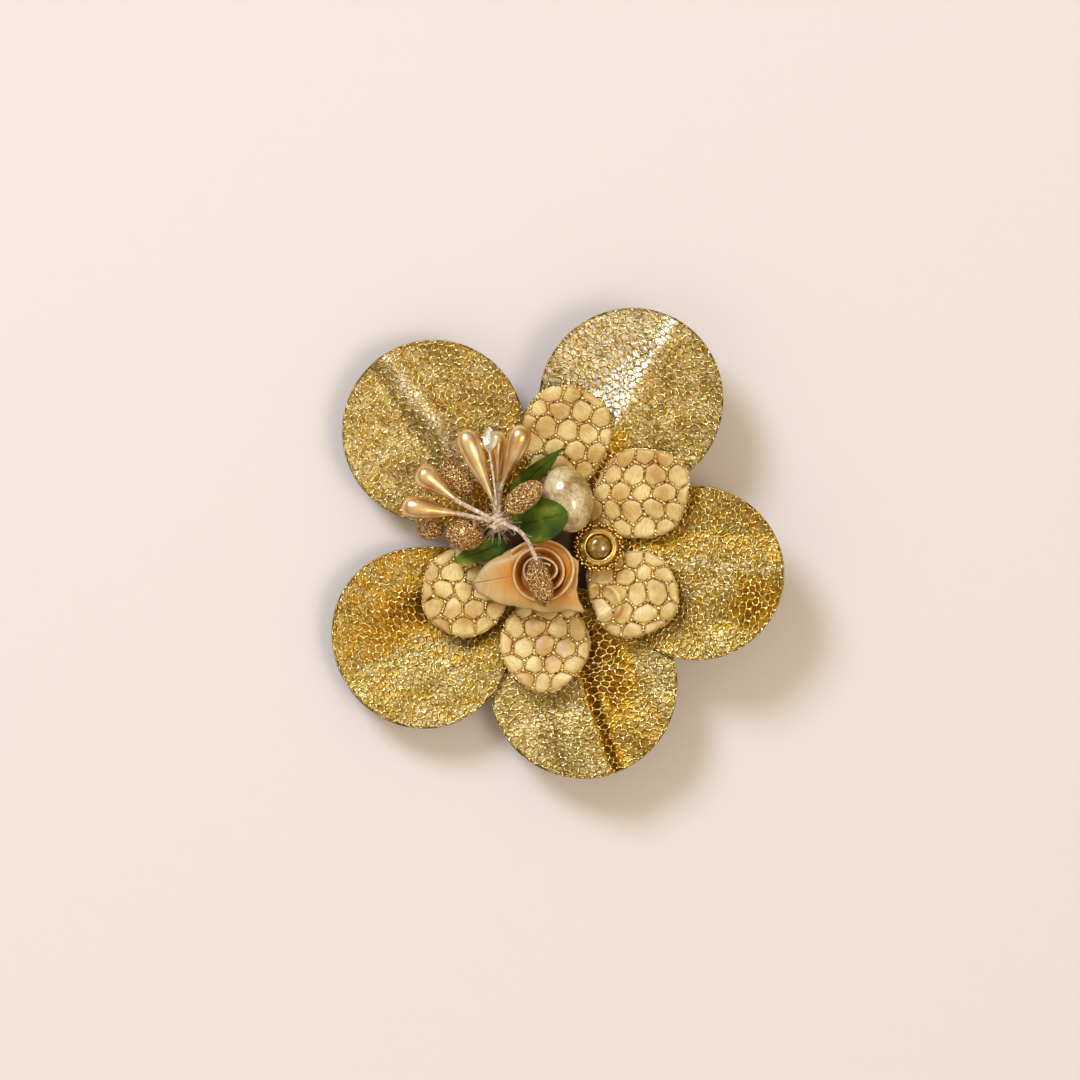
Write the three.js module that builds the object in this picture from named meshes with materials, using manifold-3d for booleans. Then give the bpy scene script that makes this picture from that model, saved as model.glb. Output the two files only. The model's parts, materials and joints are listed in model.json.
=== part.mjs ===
// Flower hair clip: a two-tier fabric flower with a trimmed centre, glued to a
// sprung alligator clip. Millimetres, +Z up. The clip lies on its lower arm, so the
// flower's own plane leans up towards +X, the clip's thumb end.

import * as THREE from 'three';
import { mergeVertices } from 'three/addons/utils/BufferGeometryUtils.js';
import Module from 'manifold-3d';

const wasm = await Module();
wasm.setup();

// ---- driving dimensions ----------------------------------------------------

const GAP = 0.3; // air left between neighbouring pieces

// Clip, in its own frame: pivot at x = 0, underside of the upper arm at z = 0.
const PLATE = 0.8; // steel strip thickness
const ARM_WIDTH = 9; // width of the upper arm and of the thumb tab
const JAW_WIDTH = 6.8; // width of the toothed lower jaw
const JAW_LENGTH = 31; // pivot to jaw tip
const TAB_LENGTH = 15; // pivot to thumb end
const JAW_DEPTH = 1.65; // jaw tip's underside below the upper arm
const TAB_DEPTH = 6.6; // thumb tab's underside below the upper arm
const JAW_PAD = 5; // flat stretch under the jaw tip
const TAB_PAD = 4; // flat stretch under the thumb tab
const ARCH = 0.4; // how far the lower arm bows up between the two pads
const FLANGE = 0.7; // thickness of the folded sides
const UPPER_OVERHANG = 0.5; // how far the upper arm passes the lower arm at both ends
const UPPER_CORNER = 3.2; // rounding of the upper arm's corners
const LOWER_CORNER = 1.3; // rounding of the lower arm's corners
const FLARE_START = 3; // where the lower arm starts to widen into the thumb tab
const FLARE_END = 5.5;
const TOOTH_COUNT = 13;
const TOOTH_START = 1.5; // first tooth behind the jaw tip
const TOOTH_PITCH = 2;
const TOOTH_HEIGHT = 0.7;
const TOOTH_CLEARANCE = 0.35; // tooth tips to the upper arm
const PIVOT_DROP = 1.9; // pivot below the upper arm's underside
const PIN_RADIUS = 0.7;
const PIN_HEAD_RADIUS = 1.3;
const PIN_HEAD_THICKNESS = 0.5;
const UPPER_EAR_RADIUS = 2.2;
const LOWER_EAR_RADIUS = 1.5;
const SPRING_WIRE_RADIUS = 0.3;
const SPRING_COIL_RADIUS = 1.3;
const SPRING_TURNS = 4.5;
const SPRING_WIDTH = 3;
const SPRING_LEG = 8;

// Where the clip's pivot lies under the flower, whose axis is x = 0, y = 0.
const CLIP_X = 9;
const CLIP_Y = 0.7;

// Backing and glue.
const FELT_RADIUS = 15;
const FELT_THICKNESS = 1.2;
const GLUE_RADIUS = 9;
const GLUE_HEIGHT = 6.6;

// Petals start at the same distance from the flower's axis.
const NECK = 9.5;
const NECK_TAPER = 0.45;
const RIDGE_TIGHTNESS = 4.5;
const FILM_THICKNESS = 0.8;
const SATIN_EDGE = 0.8;
const SATIN_PUFF = 1.3;

// Outer petals: direction, distance to the middle of the round part, its outer
// radius and half width, seat height, ridge height, and the lift of either edge.
const OUTER_PETALS = [
  { angle: 136, reach: 36, length: 20, halfWidth: 20, base: 2.2, ridge: 1.6, left: 2.6, right: 1.6 },
  { angle: 61, reach: 36, length: 20.5, halfWidth: 20, base: 2.2, ridge: 2.2, left: 1.6, right: 2.4 },
  { angle: -11, reach: 32, length: 19.5, halfWidth: 19, base: 2.2, ridge: 1.4, left: 2.0, right: 2.6 },
  { angle: -77, reach: 31.5, length: 20.5, halfWidth: 20.5, base: 0.9, ridge: 1.8, left: 0.6, right: 0.6 },
  { angle: -144.5, reach: 35.5, length: 19, halfWidth: 20, base: 2.2, ridge: 1.4, left: 2.2, right: 2.6 },
];
const OUTER_RISE = 4;

// Inner petals: direction, distance to the middle of the disc, disc radius.
const INNER_PETALS = [
  { angle: 82, reach: 25.5, radius: 9.8 },
  { angle: 29.5, reach: 23.5, radius: 10 },
  { angle: -30.5, reach: 21, radius: 9.8 },
  { angle: -93.5, reach: 22, radius: 10 },
  { angle: -151.5, reach: 21.5, radius: 9.8 },
];
const INNER_BASE = 4;
const INNER_RISE = 4.4;

// ---- finishes --------------------------------------------------------------

const FINISHES = {
  steel: { color: 0xb9b7b0, metalness: 1, roughness: 0.28 },
  felt: { color: 0x6a4c24, metalness: 0, roughness: 0.95 },
  glue: { color: 0x482b12, metalness: 0, roughness: 0.35 },
  film: { color: 0xd9bd7c, metalness: 0.7, roughness: 0.35 },
  satin: { color: 0xe2b877, metalness: 0, roughness: 0.5 },
  ribbon: { color: 0xe7c08a, metalness: 0, roughness: 0.4 },
  pearl: { color: 0xe3d3ab, metalness: 0.1, roughness: 0.2 },
  brass: { color: 0xd8a83c, metalness: 1, roughness: 0.25 },
  amber: { color: 0x9a6a1c, metalness: 0, roughness: 0.1 },
  leaf: { color: 0x3f5a1e, metalness: 0, roughness: 0.7 },
  gilt: { color: 0xc69a5a, metalness: 0.8, roughness: 0.35 },
  glitter: { color: 0xc7995a, metalness: 0.8, roughness: 0.45 },
  crystal: { color: 0xd9cfb4, metalness: 0.2, roughness: 0.1 },
  twine: { color: 0xcfae92, metalness: 0, roughness: 0.9 },
};

function material(finish) {
  return new THREE.MeshStandardMaterial(FINISHES[finish]);
}

// ---- geometry helpers ------------------------------------------------------

// Six times the signed volume of a closed indexed geometry.
function signedVolume(geometry) {
  const position = geometry.attributes.position;
  const index = geometry.index;
  const a = new THREE.Vector3();
  const b = new THREE.Vector3();
  const c = new THREE.Vector3();
  let sum = 0;
  for (let i = 0; i < index.count; i += 3) {
    a.fromBufferAttribute(position, index.getX(i));
    b.fromBufferAttribute(position, index.getX(i + 1));
    c.fromBufferAttribute(position, index.getX(i + 2));
    sum += a.dot(b.cross(c));
  }
  return sum;
}

// Welds shared vertices, drops triangles that collapsed at a pole, and turns the
// faces outward.
function closed(source) {
  const geometry = source.clone();
  geometry.deleteAttribute('normal');
  geometry.deleteAttribute('uv');
  const welded = mergeVertices(geometry, 1e-4);
  const kept = [];
  for (let i = 0; i < welded.index.count; i += 3) {
    const corner = [0, 1, 2].map((k) => welded.index.getX(i + k));
    if (new Set(corner).size === 3) kept.push(...corner);
  }
  welded.setIndex(kept);
  if (signedVolume(welded) < 0) {
    for (let i = 0; i < kept.length; i += 3) {
      [kept[i], kept[i + 1]] = [kept[i + 1], kept[i]];
    }
    welded.setIndex(kept);
  }
  return welded;
}

function solidOf(geometry) {
  const body = closed(geometry);
  return new wasm.Manifold(new wasm.Mesh({
    numProp: 3,
    vertProperties: new Float32Array(body.attributes.position.array),
    triVerts: new Uint32Array(body.index.array),
  }));
}

function geometryOf(solid) {
  const data = solid.getMesh();
  const geometry = new THREE.BufferGeometry();
  geometry.setAttribute('position', new THREE.BufferAttribute(data.vertProperties, 3));
  geometry.setIndex(new THREE.BufferAttribute(data.triVerts, 1));
  return geometry;
}

function joined(...geometries) {
  return geometries.map(solidOf).reduce((sum, solid) => sum.add(solid));
}

// A named piece, shaded by its faces.
function piece(name, geometry, finish) {
  const body = closed(geometry);
  body.computeVertexNormals();
  const mesh = new THREE.Mesh(body, material(finish));
  mesh.name = name;
  return mesh;
}

// A flat outline with every corner rounded by the same amount.
function roundedOutline(corners, radius) {
  const shape = new THREE.Shape();
  corners.forEach(([x, y], i) => {
    const corner = new THREE.Vector2(x, y);
    const before = new THREE.Vector2(...corners.at(i - 1));
    const after = new THREE.Vector2(...corners[(i + 1) % corners.length]);
    const enter = corner.clone().add(before.sub(corner).setLength(radius));
    const leave = corner.clone().add(after.sub(corner).setLength(radius));
    if (i === 0) shape.moveTo(enter.x, enter.y);
    else shape.lineTo(enter.x, enter.y);
    shape.quadraticCurveTo(x, y, leave.x, leave.y);
  });
  shape.closePath();
  return shape;
}

function outlineOf(points) {
  return new THREE.Shape(points.map(([x, y]) => new THREE.Vector2(x, y)));
}

function discOutline(x, y, radius) {
  const shape = new THREE.Shape();
  shape.absarc(x, y, radius, 0, 2 * Math.PI);
  return shape;
}

function extrudeUp(shape, bottom, top) {
  const geometry = new THREE.ExtrudeGeometry(shape, {
    depth: top - bottom,
    bevelEnabled: false,
    curveSegments: 4,
  });
  return geometry.translate(0, 0, bottom);
}

// Extrudes a side view, drawn in x and z, from one y to another.
function extrudeAcross(shape, near, far, curveSegments = 12) {
  const geometry = new THREE.ExtrudeGeometry(shape, {
    depth: far - near,
    bevelEnabled: false,
    curveSegments,
  });
  return geometry.rotateX(Math.PI / 2).translate(0, far, 0);
}

// A round wire along a smooth curve through the points.
function wire(points, radius, steps, sides = 6) {
  const path = new THREE.CatmullRomCurve3(points.map((p) => new THREE.Vector3(...p)));
  const section = new THREE.Shape();
  for (let i = 0; i < sides; i += 1) {
    const turn = (2 * Math.PI * i) / sides;
    const x = radius * Math.cos(turn);
    const y = radius * Math.sin(turn);
    if (i === 0) section.moveTo(x, y);
    else section.lineTo(x, y);
  }
  section.closePath();
  return new THREE.ExtrudeGeometry(section, { steps, extrudePath: path });
}

function lathe(profile, segments) {
  return new THREE.LatheGeometry(profile.map(([r, h]) => new THREE.Vector2(r, h)), segments);
}

// A lathe shape turned to stand on the XY plane.
function upright(profile, segments) {
  return lathe(profile, segments).rotateX(Math.PI / 2);
}

// Turns a shape that runs along +Y from the origin so that it runs from one point
// towards another.
function aimed(geometry, from, to) {
  const start = new THREE.Vector3(...from);
  const direction = new THREE.Vector3(...to).sub(start).normalize();
  const turn = new THREE.Quaternion().setFromUnitVectors(new THREE.Vector3(0, 1, 0), direction);
  geometry.applyQuaternion(turn);
  return geometry.translate(start.x, start.y, start.z);
}

// A closed sheet made by bending a thin flat disc: surface gives the middle of the
// sheet at a place on the unit disc, and thickness how thick it is there.
function bentSheet(segments, rings, surface, thickness) {
  const profile = [];
  for (let i = 0; i <= rings; i += 1) profile.push([i / rings, 0]);
  for (let i = rings; i >= 0; i -= 1) profile.push([i / rings, 1]);
  const geometry = lathe(profile, segments);
  const position = geometry.attributes.position;
  for (let i = 0; i < position.count; i += 1) {
    const along = position.getX(i);
    const across = position.getZ(i);
    const side = position.getY(i) - 0.5;
    const point = surface(along, across);
    const depth = thickness(Math.hypot(along, across));
    position.setXYZ(i, point.x, point.y, point.z + side * depth);
  }
  return geometry;
}

// ---- the lean of the flower ------------------------------------------------

const LEAN = Math.atan((TAB_DEPTH - JAW_DEPTH) / (JAW_LENGTH + TAB_LENGTH));
const CLIP_Z = JAW_LENGTH * Math.sin(LEAN) + JAW_DEPTH * Math.cos(LEAN);
const FELT_BOTTOM = PLATE + GAP;
const FELT_TOP = FELT_BOTTOM + FELT_THICKNESS;

// Height of the felt's upper face over the table at a given x.
function seat(x) {
  const along = (x - CLIP_X + FELT_TOP * Math.sin(LEAN)) / Math.cos(LEAN);
  return CLIP_Z + along * Math.sin(LEAN) + FELT_TOP * Math.cos(LEAN);
}

// A place over the flower: x and y seen from above, height above the felt.
function over(x, y, height) {
  return [x, y, seat(x) + height];
}

// ---- clip ------------------------------------------------------------------

// The table's plane in the clip's frame, and the lower arm's underside over it.
function tableLine(x) {
  return -(JAW_DEPTH + (x + JAW_LENGTH) * Math.tan(LEAN));
}

function lowerUnderside(x) {
  const start = -JAW_LENGTH + JAW_PAD;
  const end = TAB_LENGTH - TAB_PAD;
  const share = THREE.MathUtils.clamp((x - start) / (end - start), 0, 1);
  return tableLine(x) + ARCH * Math.sin(Math.PI * share);
}

function earOutline(radius, top) {
  const shape = new THREE.Shape();
  shape.moveTo(-radius, top);
  shape.lineTo(-radius, -PIVOT_DROP);
  shape.absarc(0, -PIVOT_DROP, radius, Math.PI, 2 * Math.PI);
  shape.lineTo(radius, top);
  shape.closePath();
  return shape;
}

function pinHole() {
  const reach = ARM_WIDTH;
  return solidOf(extrudeAcross(discOutline(0, -PIVOT_DROP, PIN_RADIUS + GAP), -reach, reach, 8));
}

function upperArm() {
  const half = ARM_WIDTH / 2;
  const plan = roundedOutline([
    [-JAW_LENGTH - UPPER_OVERHANG, -half],
    [TAB_LENGTH + UPPER_OVERHANG, -half],
    [TAB_LENGTH + UPPER_OVERHANG, half],
    [-JAW_LENGTH - UPPER_OVERHANG, half],
  ], UPPER_CORNER);
  const ear = earOutline(UPPER_EAR_RADIUS, PLATE / 2);
  const arm = joined(
    extrudeUp(plan, 0, PLATE),
    extrudeAcross(ear, half - PLATE, half, 8),
    extrudeAcross(ear, -half, -half + PLATE, 8),
  );
  return geometryOf(arm.subtract(pinHole()));
}

// The toothed side of the lower jaw, from near the tip to the ear at the pivot.
function toothedSide() {
  const points = [];
  const start = -JAW_LENGTH + TOOTH_START;
  const end = -LOWER_EAR_RADIUS / 2;
  const underSteps = 6;
  for (let i = 0; i <= TOOTH_COUNT; i += 1) {
    points.push([start + i * TOOTH_PITCH, -TOOTH_CLEARANCE - TOOTH_HEIGHT]);
    points.push([start + (i + 0.5) * TOOTH_PITCH, -TOOTH_CLEARANCE]);
  }
  points.push([end, -PIVOT_DROP]);
  for (let i = underSteps; i >= 0; i -= 1) {
    const x = start + (i * (end - start)) / underSteps;
    points.push([x, lowerUnderside(x) + PLATE / 2]);
  }
  return outlineOf(points);
}

// The lower arm's ear: a round boss at the pivot that stands on the plate.
function lowerEar() {
  const shape = new THREE.Shape();
  shape.moveTo(LOWER_EAR_RADIUS, -PIVOT_DROP);
  shape.absarc(0, -PIVOT_DROP, LOWER_EAR_RADIUS, 0, Math.PI);
  shape.lineTo(-LOWER_EAR_RADIUS, lowerUnderside(0) + PLATE / 2);
  shape.lineTo(LOWER_EAR_RADIUS, lowerUnderside(0) + PLATE / 2);
  shape.closePath();
  return shape;
}

function lowerPlate() {
  const steps = 16;
  const under = [];
  for (let i = 0; i <= steps; i += 1) {
    const x = -JAW_LENGTH + (i * (JAW_LENGTH + TAB_LENGTH)) / steps;
    under.push([x, lowerUnderside(x)]);
  }
  const above = under.map(([x, z]) => [x, z + PLATE]).reverse();
  return outlineOf([...under, ...above]);
}

function lowerArm() {
  const jaw = JAW_WIDTH / 2;
  const tab = ARM_WIDTH / 2;
  const plan = roundedOutline([
    [-JAW_LENGTH, -jaw],
    [FLARE_START, -jaw],
    [FLARE_END, -tab],
    [TAB_LENGTH, -tab],
    [TAB_LENGTH, tab],
    [FLARE_END, tab],
    [FLARE_START, jaw],
    [-JAW_LENGTH, jaw],
  ], LOWER_CORNER);
  const plate = solidOf(extrudeAcross(lowerPlate(), -tab, tab));
  const cutout = solidOf(extrudeUp(plan, -TAB_DEPTH - 1, 1));
  const sides = [-jaw, jaw - FLANGE].map((near) => joined(
    extrudeAcross(toothedSide(), near, near + FLANGE),
    extrudeAcross(lowerEar(), near, near + FLANGE, 8),
  ));
  const arm = sides.reduce((sum, side) => sum.add(side), plate.intersect(cutout));
  return geometryOf(arm.subtract(pinHole()));
}

function hingePin() {
  const shoulder = ARM_WIDTH / 2 + GAP;
  const end = shoulder + PIN_HEAD_THICKNESS;
  return lathe([
    [0, -end],
    [PIN_HEAD_RADIUS, -end],
    [PIN_HEAD_RADIUS, -shoulder],
    [PIN_RADIUS, -shoulder],
    [PIN_RADIUS, shoulder],
    [PIN_HEAD_RADIUS, shoulder],
    [PIN_HEAD_RADIUS, end],
    [0, end],
  ], 12).translate(0, 0, -PIVOT_DROP);
}

// Coil round the pin, with one leg under the upper arm and one on the thumb tab.
function torsionSpring() {
  const perTurn = 12;
  const steps = SPRING_TURNS * perTurn;
  const points = [[SPRING_LEG, -SPRING_WIDTH / 2, -PIVOT_DROP + SPRING_COIL_RADIUS]];
  points.push([SPRING_LEG / 3, -SPRING_WIDTH / 2, -PIVOT_DROP + SPRING_COIL_RADIUS]);
  for (let i = 0; i <= steps; i += 1) {
    const turn = Math.PI / 2 + (2 * Math.PI * i) / perTurn;
    points.push([
      SPRING_COIL_RADIUS * Math.cos(turn),
      -SPRING_WIDTH / 2 + (SPRING_WIDTH * i) / steps,
      -PIVOT_DROP + SPRING_COIL_RADIUS * Math.sin(turn),
    ]);
  }
  const legEnd = lowerUnderside(SPRING_LEG) + PLATE + GAP + SPRING_WIRE_RADIUS;
  points.push([SPRING_LEG / 2, SPRING_WIDTH / 2, (legEnd - PIVOT_DROP - SPRING_COIL_RADIUS) / 2]);
  points.push([SPRING_LEG, SPRING_WIDTH / 2, legEnd]);
  return wire(points, SPRING_WIRE_RADIUS, 84);
}

// ---- petals ----------------------------------------------------------------

// Middle of an outer petal's film. along runs from -1 at the neck to 1 at the rim,
// across from -1 to 1 over its width.
function outerSurface(petal) {
  const heading = THREE.MathUtils.degToRad(petal.angle);
  const end = petal.reach + petal.length;
  return (along, across) => {
    const inward = along < 0;
    const u = petal.reach + along * (inward ? petal.reach - NECK : petal.length);
    const v = petal.halfWidth * across * (inward ? 1 - NECK_TAPER * along * along : 1);
    const rise = (u - NECK) / (end - NECK);
    const side = v / petal.halfWidth;
    const edge = side > 0 ? petal.left : petal.right;
    const ridge = petal.ridge * Math.exp(-RIDGE_TIGHTNESS * Math.abs(side));
    const height = petal.base + rise * (OUTER_RISE + edge * side * side + ridge);
    const x = u * Math.cos(heading) - v * Math.sin(heading);
    const y = u * Math.sin(heading) + v * Math.cos(heading);
    return new THREE.Vector3(...over(x, y, height));
  };
}

function outerPetal(petal) {
  return bentSheet(26, 5, outerSurface(petal), () => FILM_THICKNESS);
}

function innerSurface(petal) {
  const heading = THREE.MathUtils.degToRad(petal.angle);
  return (along, across) => {
    const inward = along < 0;
    const u = petal.reach + along * (inward ? petal.reach - NECK : petal.radius);
    const v = petal.radius * across * (inward ? 1 - NECK_TAPER * along * along : 1);
    const rise = (u - NECK) / (petal.reach + petal.radius - NECK);
    const x = u * Math.cos(heading) - v * Math.sin(heading);
    const y = u * Math.sin(heading) + v * Math.cos(heading);
    return new THREE.Vector3(...over(x, y, INNER_BASE + INNER_RISE * rise));
  };
}

function innerPetal(petal) {
  const puff = (distance) => SATIN_EDGE + SATIN_PUFF * (1 - distance * distance);
  return bentSheet(22, 4, innerSurface(petal), puff);
}

// ---- backing and glue ------------------------------------------------------

function feltDisc() {
  const geometry = new THREE.CylinderGeometry(FELT_RADIUS, FELT_RADIUS, FELT_THICKNESS, 28);
  geometry.rotateX(Math.PI / 2);
  return geometry.translate(-CLIP_X, 0, FELT_BOTTOM + FELT_THICKNESS / 2);
}

function glueMound() {
  const geometry = upright([
    [0, 0],
    [GLUE_RADIUS, 0],
    [GLUE_RADIUS, GLUE_HEIGHT * 0.5],
    [GLUE_RADIUS * 0.85, GLUE_HEIGHT * 0.8],
    [GLUE_RADIUS * 0.5, GLUE_HEIGHT * 0.96],
    [0, GLUE_HEIGHT],
  ], 20);
  return geometry.translate(-CLIP_X, 0, FELT_TOP + GAP);
}

// ---- trims of the centre ---------------------------------------------------

// Places are x and y from the flower's axis and height over the felt.
const ROSE = { x: -4.3, y: -6.6, height: 7.3 };
const PEARL = { x: 3.6, y: 10, height: 12, half: [5.5, 7.4, 5.4], heading: 15 };
const CABOCHON = { x: 10.5, y: -0.4, height: 7.8 };
const GRANULES = { count: 14, radius: 0.85, ring: 4.9, height: 0.9 };
const BEZEL_SEAT = 1.2; // bezel and stone over the granulated plate's underside
const KNOT = { x: -11.7, y: 5, height: 14.6, half: [1.7, 2.3, 1.5], heading: 29 };

function roseWraps() {
  const cup = upright([
    [0, 0], [4.5, 0], [7.6, 1.9], [9.6, 3.6], [10, 6.4],
    [9.2, 6.4], [8.8, 4], [7, 2.8], [0, 1],
  ], 20);
  return cup.scale(1.1, 0.95, 1).translate(...over(ROSE.x, ROSE.y, ROSE.height));
}

function roseHeart() {
  const coil = upright([
    [0, 1.5], [4.4, 2.6], [6.4, 3.5], [7.4, 4.6], [7.2, 6.2], [4, 6.9], [0, 6.6],
  ], 18);
  return coil.scale(1.08, 0.95, 1).translate(...over(ROSE.x, ROSE.y, ROSE.height));
}

function pearl() {
  const bead = new THREE.SphereGeometry(1, 18, 12).scale(...PEARL.half);
  bead.rotateZ(THREE.MathUtils.degToRad(PEARL.heading));
  return bead.translate(...over(PEARL.x, PEARL.y, PEARL.height));
}

// A round plate ringed with small balls.
function granulatedBase() {
  const plate = new THREE.CylinderGeometry(4.7, 4.7, 0.8, 20).rotateX(Math.PI / 2);
  const parts = [plate.translate(0, 0, 0.5)];
  for (let i = 0; i < GRANULES.count; i += 1) {
    const turn = (2 * Math.PI * i) / GRANULES.count;
    const ball = new THREE.SphereGeometry(GRANULES.radius, 6, 4).rotateX(Math.PI / 2);
    const x = GRANULES.ring * Math.cos(turn);
    const y = GRANULES.ring * Math.sin(turn);
    parts.push(ball.translate(x, y, GRANULES.height));
  }
  const base = geometryOf(joined(...parts));
  return base.translate(...over(CABOCHON.x, CABOCHON.y, CABOCHON.height));
}

function bezelRing() {
  const ring = upright([[2.9, 0], [3.7, 0], [3.7, 1.5], [3.3, 2], [2.9, 1.5], [2.9, 0]], 20);
  return ring.translate(...over(CABOCHON.x, CABOCHON.y, CABOCHON.height + BEZEL_SEAT));
}

function cabochonStone() {
  const dome = upright([[0, 0], [2.6, 0], [2.6, 1], [2.1, 1.9], [1.2, 2.4], [0, 2.6]], 16);
  return dome.translate(...over(CABOCHON.x, CABOCHON.y, CABOCHON.height + BEZEL_SEAT));
}

// A leaf of pressed cloth: base and tip, half width, and how far its middle rises.
const LEAVES = [
  { base: [-8.2, 4.4, 14.1], tip: [3.6, 6.6, 18.2], halfWidth: 5.2, crown: 0.4, point: 0.25 },
  { base: [-9.6, 0.6, 9.3], tip: [-21.4, -3.6, 9.9], halfWidth: 2.5, crown: 0.5, point: 0.6 },
  { base: [-9, 11, 9.2], tip: [2.6, 21.2, 10.6], halfWidth: 2.2, crown: 0.5, point: 0.8 },
];
const LEAF_THICKNESS = 0.4;

function leaf(data) {
  const base = new THREE.Vector3(...over(...data.base));
  const tip = new THREE.Vector3(...over(...data.tip));
  const spine = tip.clone().sub(base);
  const across = new THREE.Vector3(-spine.y, spine.x, 0).normalize();
  const surface = (along, side) => {
    const share = (along + 1) / 2;
    const narrowing = 1 - data.point * share * share;
    const point = base.clone().addScaledVector(spine, share);
    point.addScaledVector(across, side * data.halfWidth * narrowing);
    point.z += data.crown * (1 - along * along);
    return point;
  };
  return bentSheet(16, 3, surface, () => LEAF_THICKNESS);
}

// A gilt drop from its stem end to its round tip, with the thread it grows on.
const STAMENS = [
  { base: [-12.3, 8.8, 15.4], tip: [-19.2, 25.2, 18.6], radius: 2.6 },
  { base: [-11, 12.2, 15.6], tip: [-5.9, 26, 17.8], radius: 2.6 },
  { base: [-11.6, 12.6, 12], tip: [-11.8, 25, 12.4], radius: 2.1 },
  { base: [-20.4, 9.6, 15.6], tip: [-29.2, 16.6, 16.4], radius: 2.6 },
  { base: [-19.6, 6.7, 15], tip: [-32.6, 8.6, 14.6], radius: 2.6 },
];
const THREAD_RADIUS = 0.3;
const KNOT_CLEARANCE = 2.6; // the threads stop this far from the knot's middle
const DROP_PROFILE = [
  [0, 0], [0.2, 0.12], [0.46, 0.32], [0.76, 0.52], [0.97, 0.7], [1, 0.8], [0.85, 0.91], [0.5, 0.98], [0, 1],
];

function stamen(data) {
  const base = over(...data.base);
  const tip = over(...data.tip);
  const length = new THREE.Vector3(...tip).distanceTo(new THREE.Vector3(...base));
  const profile = DROP_PROFILE.map(([r, share]) => [r * data.radius, share * length]);
  const drop = aimed(lathe(profile, 10), base, tip);
  const knot = new THREE.Vector3(...over(KNOT.x, KNOT.y, KNOT.height));
  const start = new THREE.Vector3(...base);
  const inside = start.clone().lerp(new THREE.Vector3(...tip), 0.25);
  const stop = knot.clone().lerp(start, KNOT_CLEARANCE / knot.distanceTo(start));
  const middle = start.clone().lerp(stop, 0.5);
  const route = [inside, start, middle, stop].map((p) => p.toArray());
  return geometryOf(joined(drop, wire(route, THREAD_RADIUS, 5)));
}

// Wire-wound glitter buds: middle, direction seen from above, half length, radius.
const GLITTER_BUDS = [
  { at: [-5.9, 10.4, 19.1], heading: 38, half: 4.9, radius: 2.8 },
  { at: [-18.9, 2.3, 12.6], heading: -10, half: 4.3, radius: 3.4 },
  { at: [-26.5, 3.5, 9.6], heading: 10, half: 3, radius: 2.3 },
  { at: [-20.6, 14.6, 10.4], heading: -50, half: 5, radius: 2.9 },
  { at: [-2.4, -8.2, 17.1], heading: -75, half: 5.4, radius: 2.6 },
];

function glitterBud(data) {
  const bud = new THREE.SphereGeometry(1, 12, 8).scale(data.half, data.radius, data.radius);
  bud.rotateZ(THREE.MathUtils.degToRad(data.heading));
  return bud.translate(...over(...data.at));
}

// A small cut crystal on its own thread.
function crystalBud() {
  const foot = over(-13.5, 20.2, 17.4);
  const head = over(-13.5, 26.2, 18.4);
  const cut = lathe([[0, 0], [0.9, 0.6], [1.5, 3.2], [0.9, 5.2], [0, 5.8]], 6);
  const thread = wire([over(-13.5, 20.8, 17.6), over(-12.6, 15, 17.9), over(-11.8, 8, 17.4)], 0.25, 6);
  return geometryOf(joined(aimed(cut, foot, head), thread));
}

function twineKnot() {
  const knot = new THREE.SphereGeometry(1, 12, 8).scale(...KNOT.half);
  knot.rotateZ(THREE.MathUtils.degToRad(KNOT.heading));
  return knot.translate(...over(KNOT.x, KNOT.y, KNOT.height));
}

// The bound stems below the knot, down to the glue.
function stemBundle() {
  const route = [over(-10.2, 4.9, 12.9), over(-8.6, 4.5, 11.2), over(-6.2, 3.6, 7.5)];
  return wire(route, 0.9, 6, 8);
}

// The twine that carries the bud lying on the rose.
function hangingTwine() {
  const route = [over(-9.3, 4.2, 15.9), over(-6.8, 3, 17.2), over(-4.8, 0.4, 17.5), over(-3.5, -2.4, 17.2)];
  return wire(route, 0.45, 9);
}

// ---- assembly --------------------------------------------------------------

const clip = new THREE.Group();
clip.position.set(CLIP_X, 0, CLIP_Z);
clip.rotation.y = -LEAN;

const arms = new THREE.Group();
arms.position.y = CLIP_Y;
arms.add(piece('clip_upper_arm', upperArm(), 'steel'));
arms.add(piece('clip_lower_arm', lowerArm(), 'steel'));
arms.add(piece('clip_hinge_pin', hingePin(), 'steel'));
arms.add(piece('clip_torsion_spring', torsionSpring(), 'steel'));
clip.add(arms);
clip.add(piece('felt_backing_disc', feltDisc(), 'felt'));
clip.add(piece('hot_glue_mound', glueMound(), 'glue'));

const flower = new THREE.Group();
OUTER_PETALS.forEach((petal, i) => {
  flower.add(piece(`outer_petal_${i + 1}`, outerPetal(petal), 'film'));
});
INNER_PETALS.forEach((petal, i) => {
  flower.add(piece(`inner_petal_${i + 1}`, innerPetal(petal), 'satin'));
});
flower.add(piece('rose_outer_wraps', roseWraps(), 'ribbon'));
flower.add(piece('rose_coiled_heart', roseHeart(), 'ribbon'));
flower.add(piece('pearl_bead', pearl(), 'pearl'));
flower.add(piece('cabochon_granulated_base', granulatedBase(), 'brass'));
flower.add(piece('cabochon_bezel_ring', bezelRing(), 'brass'));
flower.add(piece('cabochon_stone', cabochonStone(), 'amber'));
LEAVES.forEach((data, i) => {
  flower.add(piece(`leaf_${i + 1}`, leaf(data), 'leaf'));
});
STAMENS.forEach((data, i) => {
  flower.add(piece(`stamen_drop_${i + 1}`, stamen(data), 'gilt'));
});
GLITTER_BUDS.forEach((data, i) => {
  flower.add(piece(`glitter_bud_${i + 1}`, glitterBud(data), 'glitter'));
});
flower.add(piece('crystal_bud', crystalBud(), 'crystal'));
flower.add(piece('twine_knot', twineKnot(), 'twine'));
flower.add(piece('bound_stems', stemBundle(), 'twine'));
flower.add(piece('hanging_twine', hangingTwine(), 'twine'));

const group = new THREE.Group();
group.add(clip, flower);

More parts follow.
